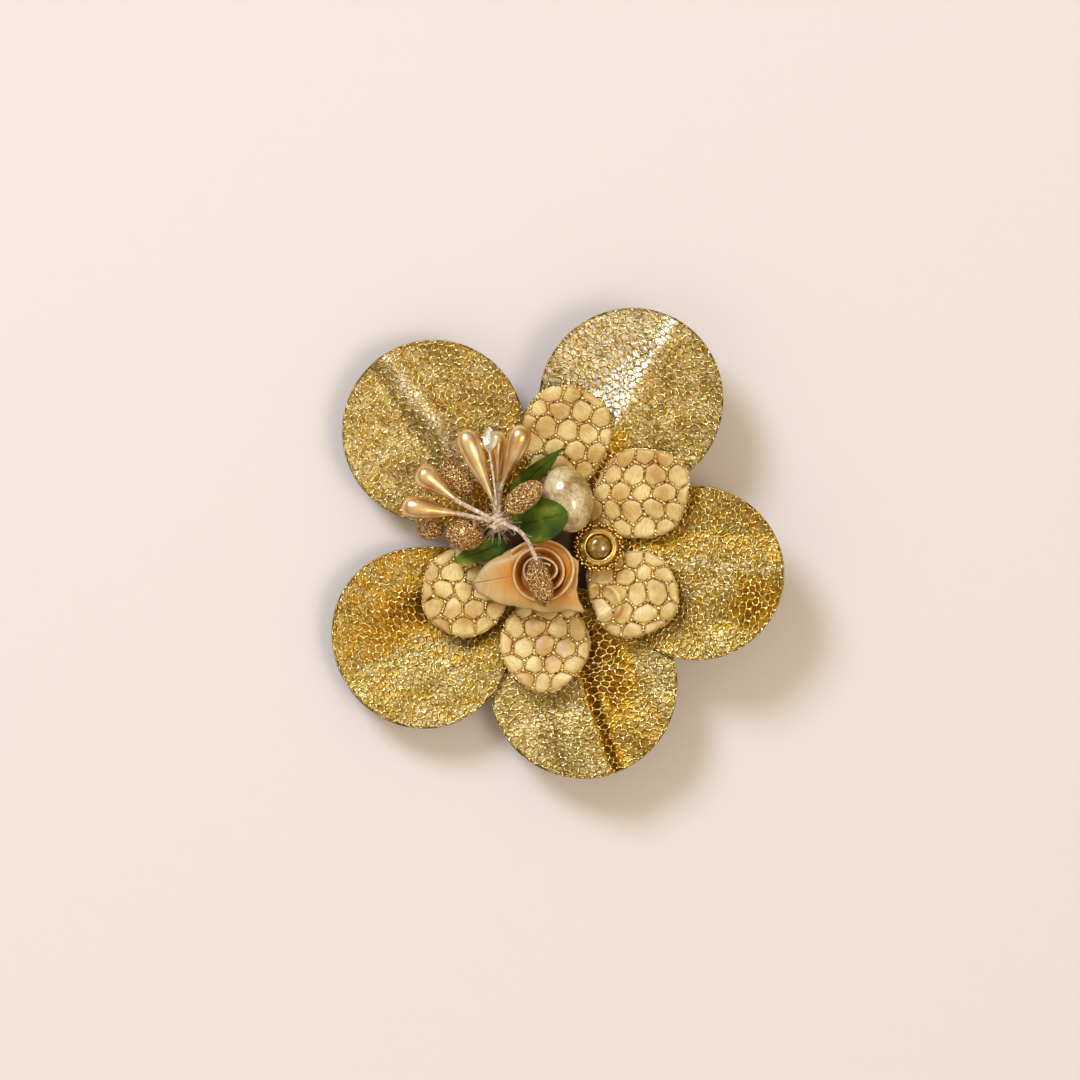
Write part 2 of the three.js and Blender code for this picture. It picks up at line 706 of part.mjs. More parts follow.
// The origin is under the middle of the whole object's outline, on the table.
group.updateMatrixWorld(true);
const outline = new THREE.Box3().setFromObject(group, true);
group.position.set(
  -(outline.min.x + outline.max.x) / 2,
  -(outline.min.y + outline.max.y) / 2,
  -outline.min.z,
);
group.updateMatrixWorld(true);

export default group;
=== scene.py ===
"""Looks of the flower hair clip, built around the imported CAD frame."""

import json
import math
import random

import bmesh
import bpy
from mathutils import Matrix, Vector, noise


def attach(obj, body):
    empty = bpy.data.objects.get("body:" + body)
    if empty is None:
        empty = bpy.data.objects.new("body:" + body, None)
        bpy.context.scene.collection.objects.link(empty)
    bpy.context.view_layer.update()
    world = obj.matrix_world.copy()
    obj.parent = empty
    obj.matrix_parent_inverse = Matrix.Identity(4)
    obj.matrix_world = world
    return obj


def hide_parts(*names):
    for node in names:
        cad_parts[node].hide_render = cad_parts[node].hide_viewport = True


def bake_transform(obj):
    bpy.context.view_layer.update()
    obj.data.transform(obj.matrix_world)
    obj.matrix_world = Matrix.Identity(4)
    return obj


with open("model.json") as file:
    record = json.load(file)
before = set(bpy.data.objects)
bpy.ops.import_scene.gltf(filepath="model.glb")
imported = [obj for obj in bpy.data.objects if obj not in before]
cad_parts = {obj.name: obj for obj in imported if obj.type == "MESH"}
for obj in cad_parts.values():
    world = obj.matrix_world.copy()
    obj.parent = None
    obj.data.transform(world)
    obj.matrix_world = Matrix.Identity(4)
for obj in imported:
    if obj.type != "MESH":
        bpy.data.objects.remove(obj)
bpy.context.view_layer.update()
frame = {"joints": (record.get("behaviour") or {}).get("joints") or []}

MM = 0.001

# ---- the frame's own measures --------------------------------------------------

CLIP_LENGTH = 46.0  # jaw tip to thumb end
TIP_DEPTH = 1.65  # jaw tip's underside below the upper arm
TAB_DEPTH = 6.6  # thumb tab's underside below the upper arm
JAW_LENGTH = 31.0
PIVOT_DROP = 1.9
CLIP_X = 9.0  # pivot's place beside the flower's axis
CLIP_Y = 0.7
FELT_TOP = 2.3  # felt's upper face over the upper arm's underside
LEAN = math.atan((TAB_DEPTH - TIP_DEPTH) / CLIP_LENGTH)
CLIP_Z = JAW_LENGTH * math.sin(LEAN) + TIP_DEPTH * math.cos(LEAN)

PIVOT = Vector(frame["joints"][0]["pos_m"])
AXIS_X = PIVOT.x / MM - CLIP_X - PIVOT_DROP * math.sin(LEAN)
AXIS_Y = PIVOT.y / MM - CLIP_Y

UPPER = "flower_and_upper_arm"


def seat(x):
    """Height of the felt's upper face over the table, x from the flower's axis."""
    along = (x - CLIP_X + FELT_TOP * math.sin(LEAN)) / math.cos(LEAN)
    return CLIP_Z + along * math.sin(LEAN) + FELT_TOP * math.cos(LEAN)


def over(x, y, height):
    """A place in metres from a place seen from above and a height over the felt."""
    return Vector((AXIS_X + x, AXIS_Y + y, seat(x) + height)) * MM


# ---- node tools ----------------------------------------------------------------


def linear(code):
    """An sRGB hex colour as the linear colour that a shader socket takes."""
    channels = [int(code[i:i + 2], 16) / 255 for i in (1, 3, 5)]
    turned = [c / 12.92 if c <= 0.04045 else ((c + 0.055) / 1.055) ** 2.4 for c in channels]
    return (*turned, 1.0)


def add(tree, kind, inputs=None, **settings):
    """Adds one shader node, with its settings and its sockets' values or links."""
    made = tree.nodes.new(kind)
    for key, value in settings.items():
        setattr(made, key, value)
    for key, value in (inputs or {}).items():
        if isinstance(value, bpy.types.NodeSocket):
            tree.links.new(value, made.inputs[key])
        else:
            made.inputs[key].default_value = value
    return made


def ramp(tree, factor, *stops):
    """A colour ramp from stops, each a place and an sRGB hex colour."""
    made = add(tree, "ShaderNodeValToRGB", {"Fac": factor})
    band = made.color_ramp.elements
    while len(band) < len(stops):
        band.new(0.5)
    for element, (place, code) in zip(band, stops):
        element.position = place
        element.color = linear(code)
    return made.outputs["Color"]


def clouds(tree, place, scale, detail, distortion=0.0):
    """Noise with so many features to a unit of place, which is a metre unless it is stretched."""
    return add(tree, "ShaderNodeTexNoise", {"Vector": place, "Scale": scale, "Detail": detail,
                                            "Distortion": distortion}).outputs["Fac"]


def stretched(tree, place, scale):
    return add(tree, "ShaderNodeMapping", {"Vector": place, "Scale": scale}).outputs["Vector"]


def multiplied(tree, share, first, second):
    """The first colour, darkened by a share of the second."""
    return add(tree, "ShaderNodeMixRGB", {"Fac": share, "Color1": first, "Color2": second},
               blend_type="MULTIPLY").outputs["Color"]


def maths(tree, operation, first, second):
    return add(tree, "ShaderNodeMath", {0: first, 1: second}, operation=operation).outputs[0]


def ranged(tree, value, before, after):
    """Moves a value from one range to another."""
    return add(tree, "ShaderNodeMapRange", {
        "Value": value, "From Min": before[0], "From Max": before[1],
        "To Min": after[0], "To Max": after[1]}).outputs["Result"]


def bumped(tree, height, strength, depth):
    """A rough surface's normal from its heights; depth is in millimetres."""
    return add(tree, "ShaderNodeBump", {"Height": height, "Strength": strength,
                                        "Distance": depth * MM}).outputs["Normal"]


def attribute(tree, name):
    return add(tree, "ShaderNodeAttribute", attribute_name=name).outputs["Fac"]


def object_place(tree):
    return add(tree, "ShaderNodeTexCoord").outputs["Object"]


def flat_place(tree):
    """The place on the flat cloth, in millimetres."""
    return add(tree, "ShaderNodeUVMap", uv_map="flat").outputs["UV"]


def socket(tree, key):
    """A socket of the material's shader, from its name in small letters."""
    return tree.nodes["Principled BSDF"].inputs[key.replace("_", " ").title().replace("Ior", "IOR")]


def shader(name, **values):
    """A new material with plain values on its shader, and its node tree."""
    made = bpy.data.materials.new(name)
    made.use_nodes = True
    for key, value in values.items():
        socket(made.node_tree, key).default_value = value
    return made, made.node_tree


def wired(made, **outputs):
    """Links patterns to a material's shader and gives the material back."""
    for key, output in outputs.items():
        made.node_tree.links.new(output, socket(made.node_tree, key))
    return made


# ---- piece tools ---------------------------------------------------------------


def finished(name, mesh_maker, materials, body, slot, *nodes):
    """Turns a bmesh into a piece that rides on a body and stands for CAD nodes."""
    mesh = bpy.data.meshes.new(name)
    mesh_maker.to_mesh(mesh)
    mesh_maker.free()
    for material in materials:
        mesh.materials.append(material)
    for face in mesh.polygons:
        face.use_smooth = True
    piece = bpy.data.objects.new(name, mesh)
    bpy.context.collection.objects.link(piece)
    if body:
        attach(piece, body)
    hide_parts(*nodes)
    return piece


def subdivided(piece, levels):
    """Smooths a piece with a subdivision surface."""
    modifier = piece.modifiers.new("smooth", "SUBSURF")
    modifier.levels = levels
    modifier.render_levels = levels
    return piece


# ---- camera, floor and light ---------------------------------------------------

VIEW_WIDTH = 237.6 * MM  # what the square frame takes in at the flower
CAMERA_HEIGHT = 1.3
CAMERA_ASIDE = (-2.4, 1.1)  # from the flower's axis
FACE_HEIGHT = 0.012  # flower's face over the table
SENSOR = 36.0
FLOOR_HALF = 3.0
FILL = 0.74
KEY = 57.0


def make_camera():
    data = bpy.data.cameras.new("camera")
    data.sensor_width = SENSOR
    data.lens = SENSOR * (CAMERA_HEIGHT - FACE_HEIGHT) / VIEW_WIDTH
    camera = bpy.data.objects.new("camera", data)
    camera.location = ((AXIS_X + CAMERA_ASIDE[0]) * MM, (AXIS_Y + CAMERA_ASIDE[1]) * MM, CAMERA_HEIGHT)
    bpy.context.collection.objects.link(camera)
    bpy.context.scene.camera = camera


def make_floor():
    maker = bmesh.new()
    bmesh.ops.create_grid(maker, x_segments=1, y_segments=1, size=FLOOR_HALF)
    mesh = bpy.data.meshes.new("floor")
    maker.to_mesh(mesh)
    maker.free()
    # Matt card: even and pale, with no gloss.
    card, _ = shader("matt_card", base_color=linear("#DFD0C2"), roughness=0.95)
    mesh.materials.append(card)
    floor = bpy.data.objects.new("floor", mesh)
    bpy.context.collection.objects.link(floor)


def make_area(name, direction, distance, size, power, colour):
    """A soft box that faces the flower from a direction (azimuth, elevation)."""
    data = bpy.data.lights.new(name, "AREA")
    data.shape = "DISK"
    data.size = size
    data.energy = power
    data.color = linear(colour)[:3]
    lamp = bpy.data.objects.new(name, data)
    turn, rise = (math.radians(a) for a in direction)
    toward = Vector((math.cos(turn) * math.cos(rise), math.sin(turn) * math.cos(rise), math.sin(rise)))
    lamp.location = toward * distance
    lamp.rotation_euler = toward.to_track_quat("Z", "Y").to_euler()
    bpy.context.collection.objects.link(lamp)


def make_world():
    """Pale backdrop beyond the floor, then walls that are dim low down, where they give gloss
    its darker edges, and pale above."""
    world = bpy.data.worlds.new("studio")
    bpy.context.scene.world = world
    world.use_nodes = True
    tree = world.node_tree
    direction = add(tree, "ShaderNodeTexCoord").outputs["Generated"]
    height = add(tree, "ShaderNodeSeparateXYZ", {"Vector": direction}).outputs["Z"]
    wall = ramp(tree, height, (0.08, "#EADDCF"), (0.12, "#5E5142"), (0.4, "#B5A792"), (0.75, "#FFF8EC"))
    # A pale reflector to the right draws the second streak along the gilt drops.
    facing = add(tree, "ShaderNodeVectorMath", {0: direction, 1: (0.43, -0.16, 0.888)},
                 operation="DOT_PRODUCT").outputs["Value"]
    patch = ranged(tree, facing, (0.972, 0.99), (0.0, 1.0))
    lit = add(tree, "ShaderNodeMixRGB", {"Fac": patch, "Color1": wall, "Color2": (12.0, 11.2, 9.8, 1.0)})
    tree.links.new(lit.outputs["Color"], tree.nodes["Background"].inputs["Color"])
    tree.nodes["Background"].inputs["Strength"].default_value = FILL


make_camera()
make_floor()
make_world()
make_area("key_soft_box", direction=(127, 45), distance=2.6, size=0.95, power=KEY, colour="#CFE2FF")
bpy.context.scene.view_settings.view_transform = "Standard"

# ---- materials -----------------------------------------------------------------


def champagne_film():
    """Metallised polyester film, crinkled when it was bonded to the net. Its colour holds painted
    reflection and shade: each little window gets its own silvery or rosy tone as a painted reflection of its
    tilt, and the folds are painted amber, as if they saw only gold."""
    made, tree = shader("metallised_film", metallic=0.92, roughness=0.4)
    place = object_place(tree)
    # Windows about 2 mm across.
    window = add(tree, "ShaderNodeTexVoronoi", {"Vector": place, "Scale": 480.0})
    shift = add(tree, "ShaderNodeSeparateColor", {"Color": window.outputs["Color"]})
    # Painted reflection and shade: the tone from the "fold" attribute, plus each window's own shift standing
    # in for its tilt.
    depth = maths(tree, "ADD", attribute(tree, "fold"), maths(tree, "MULTIPLY", shift.outputs["Red"], 0.22))
    tint = ramp(tree, depth, (0.0, "#FFFDF4"), (0.22, "#EADCBE"), (0.42, "#C6B07E"), (0.6, "#A98E50"),
                (0.8, "#BC8A1C"), (1.0, "#7E4E06"))
    # Painted reflection: a rosy tint in some windows.
    painted_rosy_reflection = maths(tree, "MULTIPLY", shift.outputs["Green"], 0.42)
    rosy = multiplied(tree, painted_rosy_reflection, tint, linear("#F3CDBD"))
    # Crinkles about 1.1 mm apart, with painted shade in their hollows.
    crinkle = clouds(tree, place, 900.0, 3.0)
    painted_hollow_shade = ramp(tree, crinkle, (0.36, "#8E7C58"), (0.56, "#FFFFFF"))
    return wired(made, base_color=multiplied(tree, 0.6, rosy, painted_hollow_shade), normal=bumped(tree, crinkle, 0.8, 0.5))


def fused_edge():
    """Film and net melted together by the hot cutter: a thin dark olive line."""
    made, tree = shader("fused_edge", metallic=0.6, roughness=0.42)
    # Melt beads about 1.5 mm apart.
    bead = clouds(tree, object_place(tree), 650.0, 2.0)
    return wired(made, base_color=ramp(tree, bead, (0.4, "#40320E"), (0.62, "#8E742E")))


def lurex_thread(name, deep, bright, flash, twist, crimp=1.0):
    """Lurex yarn: flat metal strip twisted round a core, so it glitters in specks.
    twist is how far apart the specks lie and crimp how deep the strip is creased."""
    made, tree = shader(name, metallic=1.0)
    speck = clouds(tree, object_place(tree), 1 / (twist * MM), 2.0)
    return wired(made, base_color=ramp(tree, speck, (0.4, deep), (0.55, bright), (0.66, flash)),
                 roughness=ranged(tree, speck, (0.3, 0.7), (0.5, 0.16)),
                 normal=bumped(tree, speck, crimp, 0.3))


def puffed_satin():
    """Polyester satin: golden, with fine floating threads, and painted shade, brown, in the gaps between
    puffs.
    """
    made, tree = shader("peach_satin", roughness=0.42, specular_ior_level=0.5)
    # Floats about 0.3 mm wide and 2 mm long.
    rib = clouds(tree, stretched(tree, flat_place(tree), (3.6, 0.6, 1.0)), 1.0, 3.0)
    # Golder and paler puffs by turns, about 5 mm apart.
    tone = ramp(tree, clouds(tree, object_place(tree), 190.0, 2.0), (0.34, "#C4964A"), (0.66, "#E8CC82"))
    groove = ramp(tree, rib, (0.38, "#B98A4C"), (0.56, "#FFFFFF"))
    # Painted shade from the puffs' heights: dark brown in the gaps, paler up their sides.
    painted_hollow_shade = ramp(tree, attribute(tree, "puff"), (0.0, "#4A2A08"), (0.3, "#B07A34"), (0.75, "#FFFFFF"))
    ribbed = multiplied(tree, 0.3, tone, groove)
    return wired(made, base_color=multiplied(tree, 0.8, ribbed, painted_hollow_shade), normal=bumped(tree, rib, 0.35, 0.15))


def ribbon_satin():
    """Woven satin ribbon, its colour holding painted light: creamy on the rims as a painted highlight where
    they catch the light, deep orange as painted shade between the turns, with a painted sheen streak along
    the warp."""
    made, tree = shader("satin_ribbon", roughness=0.4, specular_ior_level=0.4)
    flat = flat_place(tree)
    # Painted sheen: warp streaks about 1.5 mm wide.
    streak = clouds(tree, stretched(tree, flat, (0.6, 0.04, 1.0)), 1.0, 3.0)
    # Painted shade and light from "depth": deep orange down between the turns, creamy on the rims.
    tone = ramp(tree, attribute(tree, "depth"), (0.0, "#DDBB84"), (0.05, "#C4A26A"), (0.12, "#CB9A50"),
                (0.3, "#CC7E12"), (1.0, "#984600"))
    painted_sheen = ramp(tree, streak, (0.3, "#C9A57C"), (0.65, "#FFFFFF"))
    # Weft threads 0.25 mm apart.
    weft = add(tree, "ShaderNodeTexWave", {"Vector": flat, "Scale": 1.25, "Distortion": 0.5},
               bands_direction="Y").outputs["Fac"]
    return wired(made, base_color=multiplied(tree, 0.32, tone, painted_sheen), normal=bumped(tree, weft, 0.15, 0.1))


def crackled_pearl():
    """Pearl lacquer on a plastic bead, crackled so that gold shows in hair-fine cracks."""
    made, tree = shader("crackled_pearl_lacquer", roughness=0.22, specular_ior_level=0.6, coat_weight=0.8,
                        coat_roughness=0.08)
    place = object_place(tree)
    # Crackle cells about 2.4 mm across, with wandering borders.
    wander = add(tree, "ShaderNodeTexNoise", {"Vector": place, "Scale": 500.0, "Detail": 3.0})
    bent = add(tree, "ShaderNodeMixRGB", {"Fac": 0.0032, "Color1": place, "Color2": wander.outputs["Color"]},
               blend_type="ADD").outputs["Color"]
    crack = add(tree, "ShaderNodeTexVoronoi", {"Vector": bent, "Scale": 420.0}, feature="DISTANCE_TO_EDGE")
    pearl = ramp(tree, clouds(tree, place, 260.0, 3.0), (0.35, "#A47E3E"), (0.6, "#DAC28E"))
    line = ramp(tree, crack.outputs["Distance"], (0.015, "#9A6E22"), (0.07, "#FFFFFF"))
    # Flecks about 0.7 mm apart.
    spot = ramp(tree, clouds(tree, place, 1500.0, 2.0), (0.34, "#A08A60"), (0.46, "#FFFFFF"))
    return wired(made, base_color=multiplied(tree, 0.35, multiplied(tree, 0.42, pearl, line), spot))


def gold_plate():
    """Polished gold plate over cast brass: deep yellow, with soft wear about 1.1 mm apart."""
    made, tree = shader("gold_plate", metallic=1.0)
    wear = clouds(tree, object_place(tree), 900.0, 3.0)
    return wired(made, base_color=ramp(tree, wear, (0.35, "#DDA63C"), (0.65, "#FFE493")),
                 roughness=ranged(tree, wear, (0.0, 1.0), (0.32, 0.12)))


def dark_patina():
    """The antiqued ground between the grains: brown-gold, left darker on purpose."""
    made, tree = shader("antiqued_ground", metallic=0.5, roughness=0.6)
    # Blotches about 0.9 mm apart.
    blotch = clouds(tree, object_place(tree), 1100.0, 2.0)
    return wired(made, base_color=ramp(tree, blotch, (0.35, "#6A4010"), (0.65, "#B07A2C")))


def amber_resin():
    """Clear amber resin dome over foil: dark olive-brown with a few bright inclusions."""
    made, tree = shader("amber_resin", roughness=0.06, ior=1.52, coat_weight=1.0, coat_roughness=0.03)
    # Inclusions about 1.2 mm across.
    speck = clouds(tree, object_place(tree), 850.0, 3.0)
    return wired(made, base_color=ramp(tree, speck, (0.32, "#54380A"), (0.52, "#8C6408"), (0.7, "#DCA428")))


def leaf_cloth():
    """Stiffened polyester cloth, hot-pressed with veins: mid green and almost dull."""
    made, tree = shader("leaf_cloth", roughness=0.6, specular_ior_level=0.15)
    # Threads 0.4 mm apart, a little coarser than real ones so that they show.
    weave = add(tree, "ShaderNodeTexWave", {"Vector": flat_place(tree), "Scale": 0.78, "Distortion": 0.6})
    # Lighter and darker patches about 4.5 mm apart.
    green = ramp(tree, clouds(tree, object_place(tree), 220.0, 3.0), (0.3, "#2A3A06"), (0.55, "#4E6008"),
                 (0.75, "#84902A"))
    return wired(made, base_color=multiplied(tree, 0.35, green, weave.outputs["Color"]),
                 normal=bumped(tree, weave.outputs["Fac"], 0.3, 0.12))


def pearl_gilt():
    """Gold pearl lacquer dipped over a starch bead: satin gloss with long streaks."""
    made, tree = shader("gilt_pearl_lacquer", metallic=0.9, roughness=0.3, coat_weight=0.3,
                        coat_roughness=0.2)
    place = object_place(tree)
    # Paler and deeper lacquer about 4 mm apart.
    tone = ramp(tree, clouds(tree, place, 240.0, 3.0), (0.35, "#D6A25C"), (0.65, "#FFDCA0"))
    # Lacquer grain of about 0.4 mm.
    return wired(made, base_color=tone, normal=bumped(tree, clouds(tree, place, 2400.0, 1.0), 0.12, 0.1))


def twine_fibre():
    """Bleached jute: pale, dusty pink-grey plies with darker flecks about 0.9 mm apart."""
    made, tree = shader("bleached_jute", roughness=0.85, sheen_weight=0.3)
    fleck = clouds(tree, object_place(tree), 1100.0, 4.0)
    return wired(made, base_color=ramp(tree, fleck, (0.3, "#A07C5A"), (0.55, "#D9B996"), (0.75, "#F3E2CC")),
                 normal=bumped(tree, fleck, 0.6, 0.2))


def silvered_acrylic():
    """Cut acrylic with a silvered back: flat facets that flash white or go dark."""
    made, tree = shader("silvered_acrylic", metallic=0.6, roughness=0.08)
    # Haze in clouds about 1.2 mm apart.
    haze = clouds(tree, object_place(tree), 800.0, 2.0)
    return wired(made, base_color=ramp(tree, haze, (0.35, "#E9D2A0"), (0.65, "#FFFAEE")))


def nickel_plate():
    """Nickel-plated spring steel: rolled along its length, so fine streaks soften its shine."""
    made, tree = shader("nickel_plate", metallic=1.0)
    # Rolling streaks about 0.15 mm wide and 5 mm long.
    streak = clouds(tree, stretched(tree, object_place(tree), (200.0, 6500.0, 6500.0)), 1.0, 2.0)
    return wired(made, base_color=ramp(tree, streak, (0.3, "#B5B1A9"), (0.7, "#D9D6CF")),
                 roughness=ranged(tree, streak, (0.0, 1.0), (0.2, 0.4)),
                 normal=bumped(tree, streak, 0.1, 0.05))


def pressed_felt():
    """Wool-mix felt: a matted brown surface with short stray fibres; its brown is kept dark as painted shade
    where the felt shows between the petals.
    """
    made, tree = shader("pressed_felt", roughness=0.95, sheen_weight=0.2, sheen_roughness=0.6)
    # Fibre clumps about 0.6 mm across.
    mat = clouds(tree, object_place(tree), 1600.0, 5.0, 1.5)
    return wired(made, base_color=ramp(tree, mat, (0.3, "#46300F"), (0.7, "#7A5A2C")),
                 normal=bumped(tree, mat, 0.8, 0.3))


def amber_glue_with_painted_shade():
    """Set hot-melt glue, a little cloudy, with a dull skin; its dark amber, near black, is painted shade for
    the recesses where it shows between the pieces.
    """
    made, tree = shader("amber_hot_melt_painted_shade", roughness=0.5, ior=1.48, specular_ior_level=0.2)
    # Cloudy patches about 3 mm apart.
    cloud = clouds(tree, object_place(tree), 300.0, 3.0)
    return wired(made, base_color=ramp(tree, cloud, (0.3, "#2C1806"), (0.7, "#5C3610")))


FILM = champagne_film()
EDGE = fused_edge()
FINE_THREAD = lurex_thread("fine_lurex_yarn", "#8E6416", "#EFCB5E", "#FFF0B8", 0.55)
KNOT_THREAD = lurex_thread("bright_lurex_knot", "#C08C34", "#FFE08C", "#FFFFF4", 0.4, 0.2)
COARSE_THREAD = lurex_thread("antique_lurex_yarn", "#6A4514", "#EDBE62", "#FFF0C4", 0.6)
SATIN = puffed_satin()
RIBBON = ribbon_satin()
PEARL_LACQUER = crackled_pearl()
PLATE = gold_plate()
PATINA = dark_patina()
RESIN = amber_resin()
LEAF = leaf_cloth()
GILT = pearl_gilt()
BRONZE_WIRE = lurex_thread("crimped_bronze_wire", "#9A6A2E", "#EEC07C", "#FFEBC4", 0.45)
PALE_WIRE = lurex_thread("crimped_rose_gold_wire", "#946428", "#E6B670", "#FFE8C0", 0.4)
JUTE = twine_fibre()
ACRYLIC = silvered_acrylic()
NICKEL = nickel_plate()
FELT = pressed_felt()
GLUE = amber_glue_with_painted_shade()

# ---- shaping tools -------------------------------------------------------------


def polar_sheet(surface, rings, segments, flat=None):
    """A round sheet of quads: surface turns a place on the unit disc into a point, and
    flat turns it, with its face's middle, into a place on the flat cloth."""
    maker = bmesh.new()
    bmesh.ops.create_grid(maker, x_segments=segments, y_segments=rings, size=1.0)
    where = {}
    for vertex in maker.verts:
        turn = math.pi * (vertex.co.x + 1)
        radius = (vertex.co.y + 1) / 2
        where[vertex.index] = (radius * math.cos(turn), radius * math.sin(turn))
    if flat:
        layer = maker.loops.layers.uv.new("flat")
        for face in maker.faces:
            spots = [where[loop.vert.index] for loop in face.loops]
            middle = (sum(a for a, _ in spots) / len(spots), sum(b for _, b in spots) / len(spots))
            for loop, spot in zip(face.loops, spots):
                loop[layer].uv = flat(spot, middle)
    for vertex in maker.verts:
        vertex.co = surface(*where[vertex.index])
    bmesh.ops.remove_doubles(maker, verts=maker.verts, dist=0.002 * MM)
    bmesh.ops.recalc_face_normals(maker, faces=maker.faces)
    return maker


def route(points, steps):
    """Even steps along a smooth curve through a few points."""
    ends = [points[0] * 2 - points[1], *points, points[-1] * 2 - points[-2]]
    places = []
    for i in range(steps + 1):
        place = (len(points) - 1) * i / steps
        start = min(int(place), len(points) - 2)
        t = place - start
        a, b, c, d = ends[start:start + 4]
        places.append((b * 2 + (c - a) * t + (a * 2 - b * 5 + c * 4 - d) * t ** 2
                       + (b * 3 - a - c * 3 + d) * t ** 3) * 0.5)
    return places


def frames_along(path):
    """Two directions across a path at each of its points, carried along without twisting."""
    carried = (path[-1] - path[0] + Vector((0, 0, 1e-6))).orthogonal()
    tangent = (path[-1] - path[0]).normalized()
    frames = []
    for i in range(len(path)):
        ahead = path[min(i + 1, len(path) - 1)] - path[max(i - 1, 0)]
        if ahead.length > 0:
            tangent = ahead.normalized()
        carried = (carried - tangent * carried.dot(tangent)).normalized()
        frames.append((carried.copy(), tangent.cross(carried)))
    return frames


def tube(maker, path, radius, sides=6, finish=0):
    """A round wire along a path, closed at both ends; finish is its material's number."""
    path = [path[0], *path, path[-1]]
    steps = len(path) - 1
    frames = frames_along(path)
    verts = bmesh.ops.create_grid(maker, x_segments=sides, y_segments=steps, size=1.0)["verts"]
    for vertex in verts:
        i = round((vertex.co.y + 1) / 2 * steps)
        turn = math.pi * (vertex.co.x + 1)
        wide = 0 if i in (0, steps) else radius
        across, up = frames[i]
        vertex.co = path[i] + (across * math.cos(turn) + up * math.sin(turn)) * wide
    if finish:
        for vertex in verts:
            for face in vertex.link_faces:
                face.material_index = finish
    bmesh.ops.remove_doubles(maker, verts=verts, dist=radius * 0.05)


def twisted(maker, path, radius, plies, pitch, finish=0):
    """Yarn: plies twisted round a path, one turn for each pitch of its length."""
    frames = frames_along(path)
    for ply in range(plies):
        travelled = 0.0
        strand = []
        for i, (point, (across, up)) in enumerate(zip(path, frames)):
            travelled += (point - path[max(i - 1, 0)]).length
            turn = 2 * math.pi * (travelled / pitch + ply / plies)
            strand.append(point + (across * math.cos(turn) + up * math.sin(turn)) * radius * 0.5)
        tube(maker, strand, radius * 0.56, 6, finish)


def spun(profile, steps, matrix):
    """Spins a side view, in millimetres, about +Z and puts it in its place."""
    maker = bmesh.new()
    verts = [maker.verts.new((r, 0, h)) for r, h in profile]
    edges = [maker.edges.new(pair) for pair in zip(verts, verts[1:])]
    bmesh.ops.spin(maker, geom=verts + edges, cent=(0, 0, 0), axis=(0, 0, 1), angle=2 * math.pi,
                   steps=steps, use_merge=True)
    bmesh.ops.remove_doubles(maker, verts=maker.verts, dist=1e-4)
    bmesh.ops.recalc_face_normals(maker, faces=maker.faces)
    bmesh.ops.transform(maker, matrix=matrix @ Matrix.Scale(MM, 4), verts=maker.verts)
    return maker


def put(maker, addition):
    """Adds one bmesh to another."""
    mesh = bpy.data.meshes.new("part")
    addition.to_mesh(mesh)
    addition.free()
    maker.from_mesh(mesh)
    bpy.data.meshes.remove(mesh)


def aimed(start, end):
    """Turns +Z towards end and moves the origin to start."""
    return Matrix.Translation(start) @ (end - start).to_track_quat("Z", "Y").to_matrix().to_4x4()


def drift(u, v, seed, amount):
    """Moves a place on flat cloth a little, as hand-laid net lies unevenly."""
    return (u + amount * noise.noise(Vector((u * 0.17, v * 0.17, seed))),
            v + amount * noise.noise(Vector((u * 0.17, v * 0.17, seed + 9.7))))


def honeycomb(size, reach, start):
    """Hexagons, size across their flats, over a stretch of flat cloth that the petal covers."""
    side = size / math.sqrt(3)
    rows = int(reach / (1.5 * side)) + 1
    columns = int(reach / size) + 1
    upright = Matrix.Rotation(math.pi / 2, 4, "Z")
    for row in range(-rows, rows + 1):
        for column in range(-columns, columns + 1):
            u = start + row * 1.5 * side
            v = (column + 0.5 * (row % 2)) * size
            yield u, v, Matrix.Translation((u, v, 0)) @ upright


def nearest_cell(size, start, u, v):
    """Middle of the hexagon at a place, and how far inside its border the place is."""
    side = size / math.sqrt(3)
    found = []
    middle_row = round((u - start) / (1.5 * side))
    for row in range(middle_row - 1, middle_row + 2):
        shift = 0.5 * (row % 2)
        middle_column = round(v / size - shift)
        for column in range(middle_column - 1, middle_column + 2):
            spot = (start + row * 1.5 * side, (column + shift) * size)
            found.append((math.hypot(u - spot[0], v - spot[1]), spot))
    found.sort()
    return found[0][1], (found[1][0] - found[0][0]) / 2


# ---- outer petals --------------------------------------------------------------

NECK = 9.5  # petals' inner ends, from the flower's axis
NECK_TAPER = 0.45
OUTER_RISE = 4.0
CREASE_START = 24  # from here to the crease's end it runs from its neck place to its rim place
CREASE_SPAN = 30
PLEAT_RAMP = 12  # over this length from the neck the pleat grows
FILM_THICKNESS = 0.15

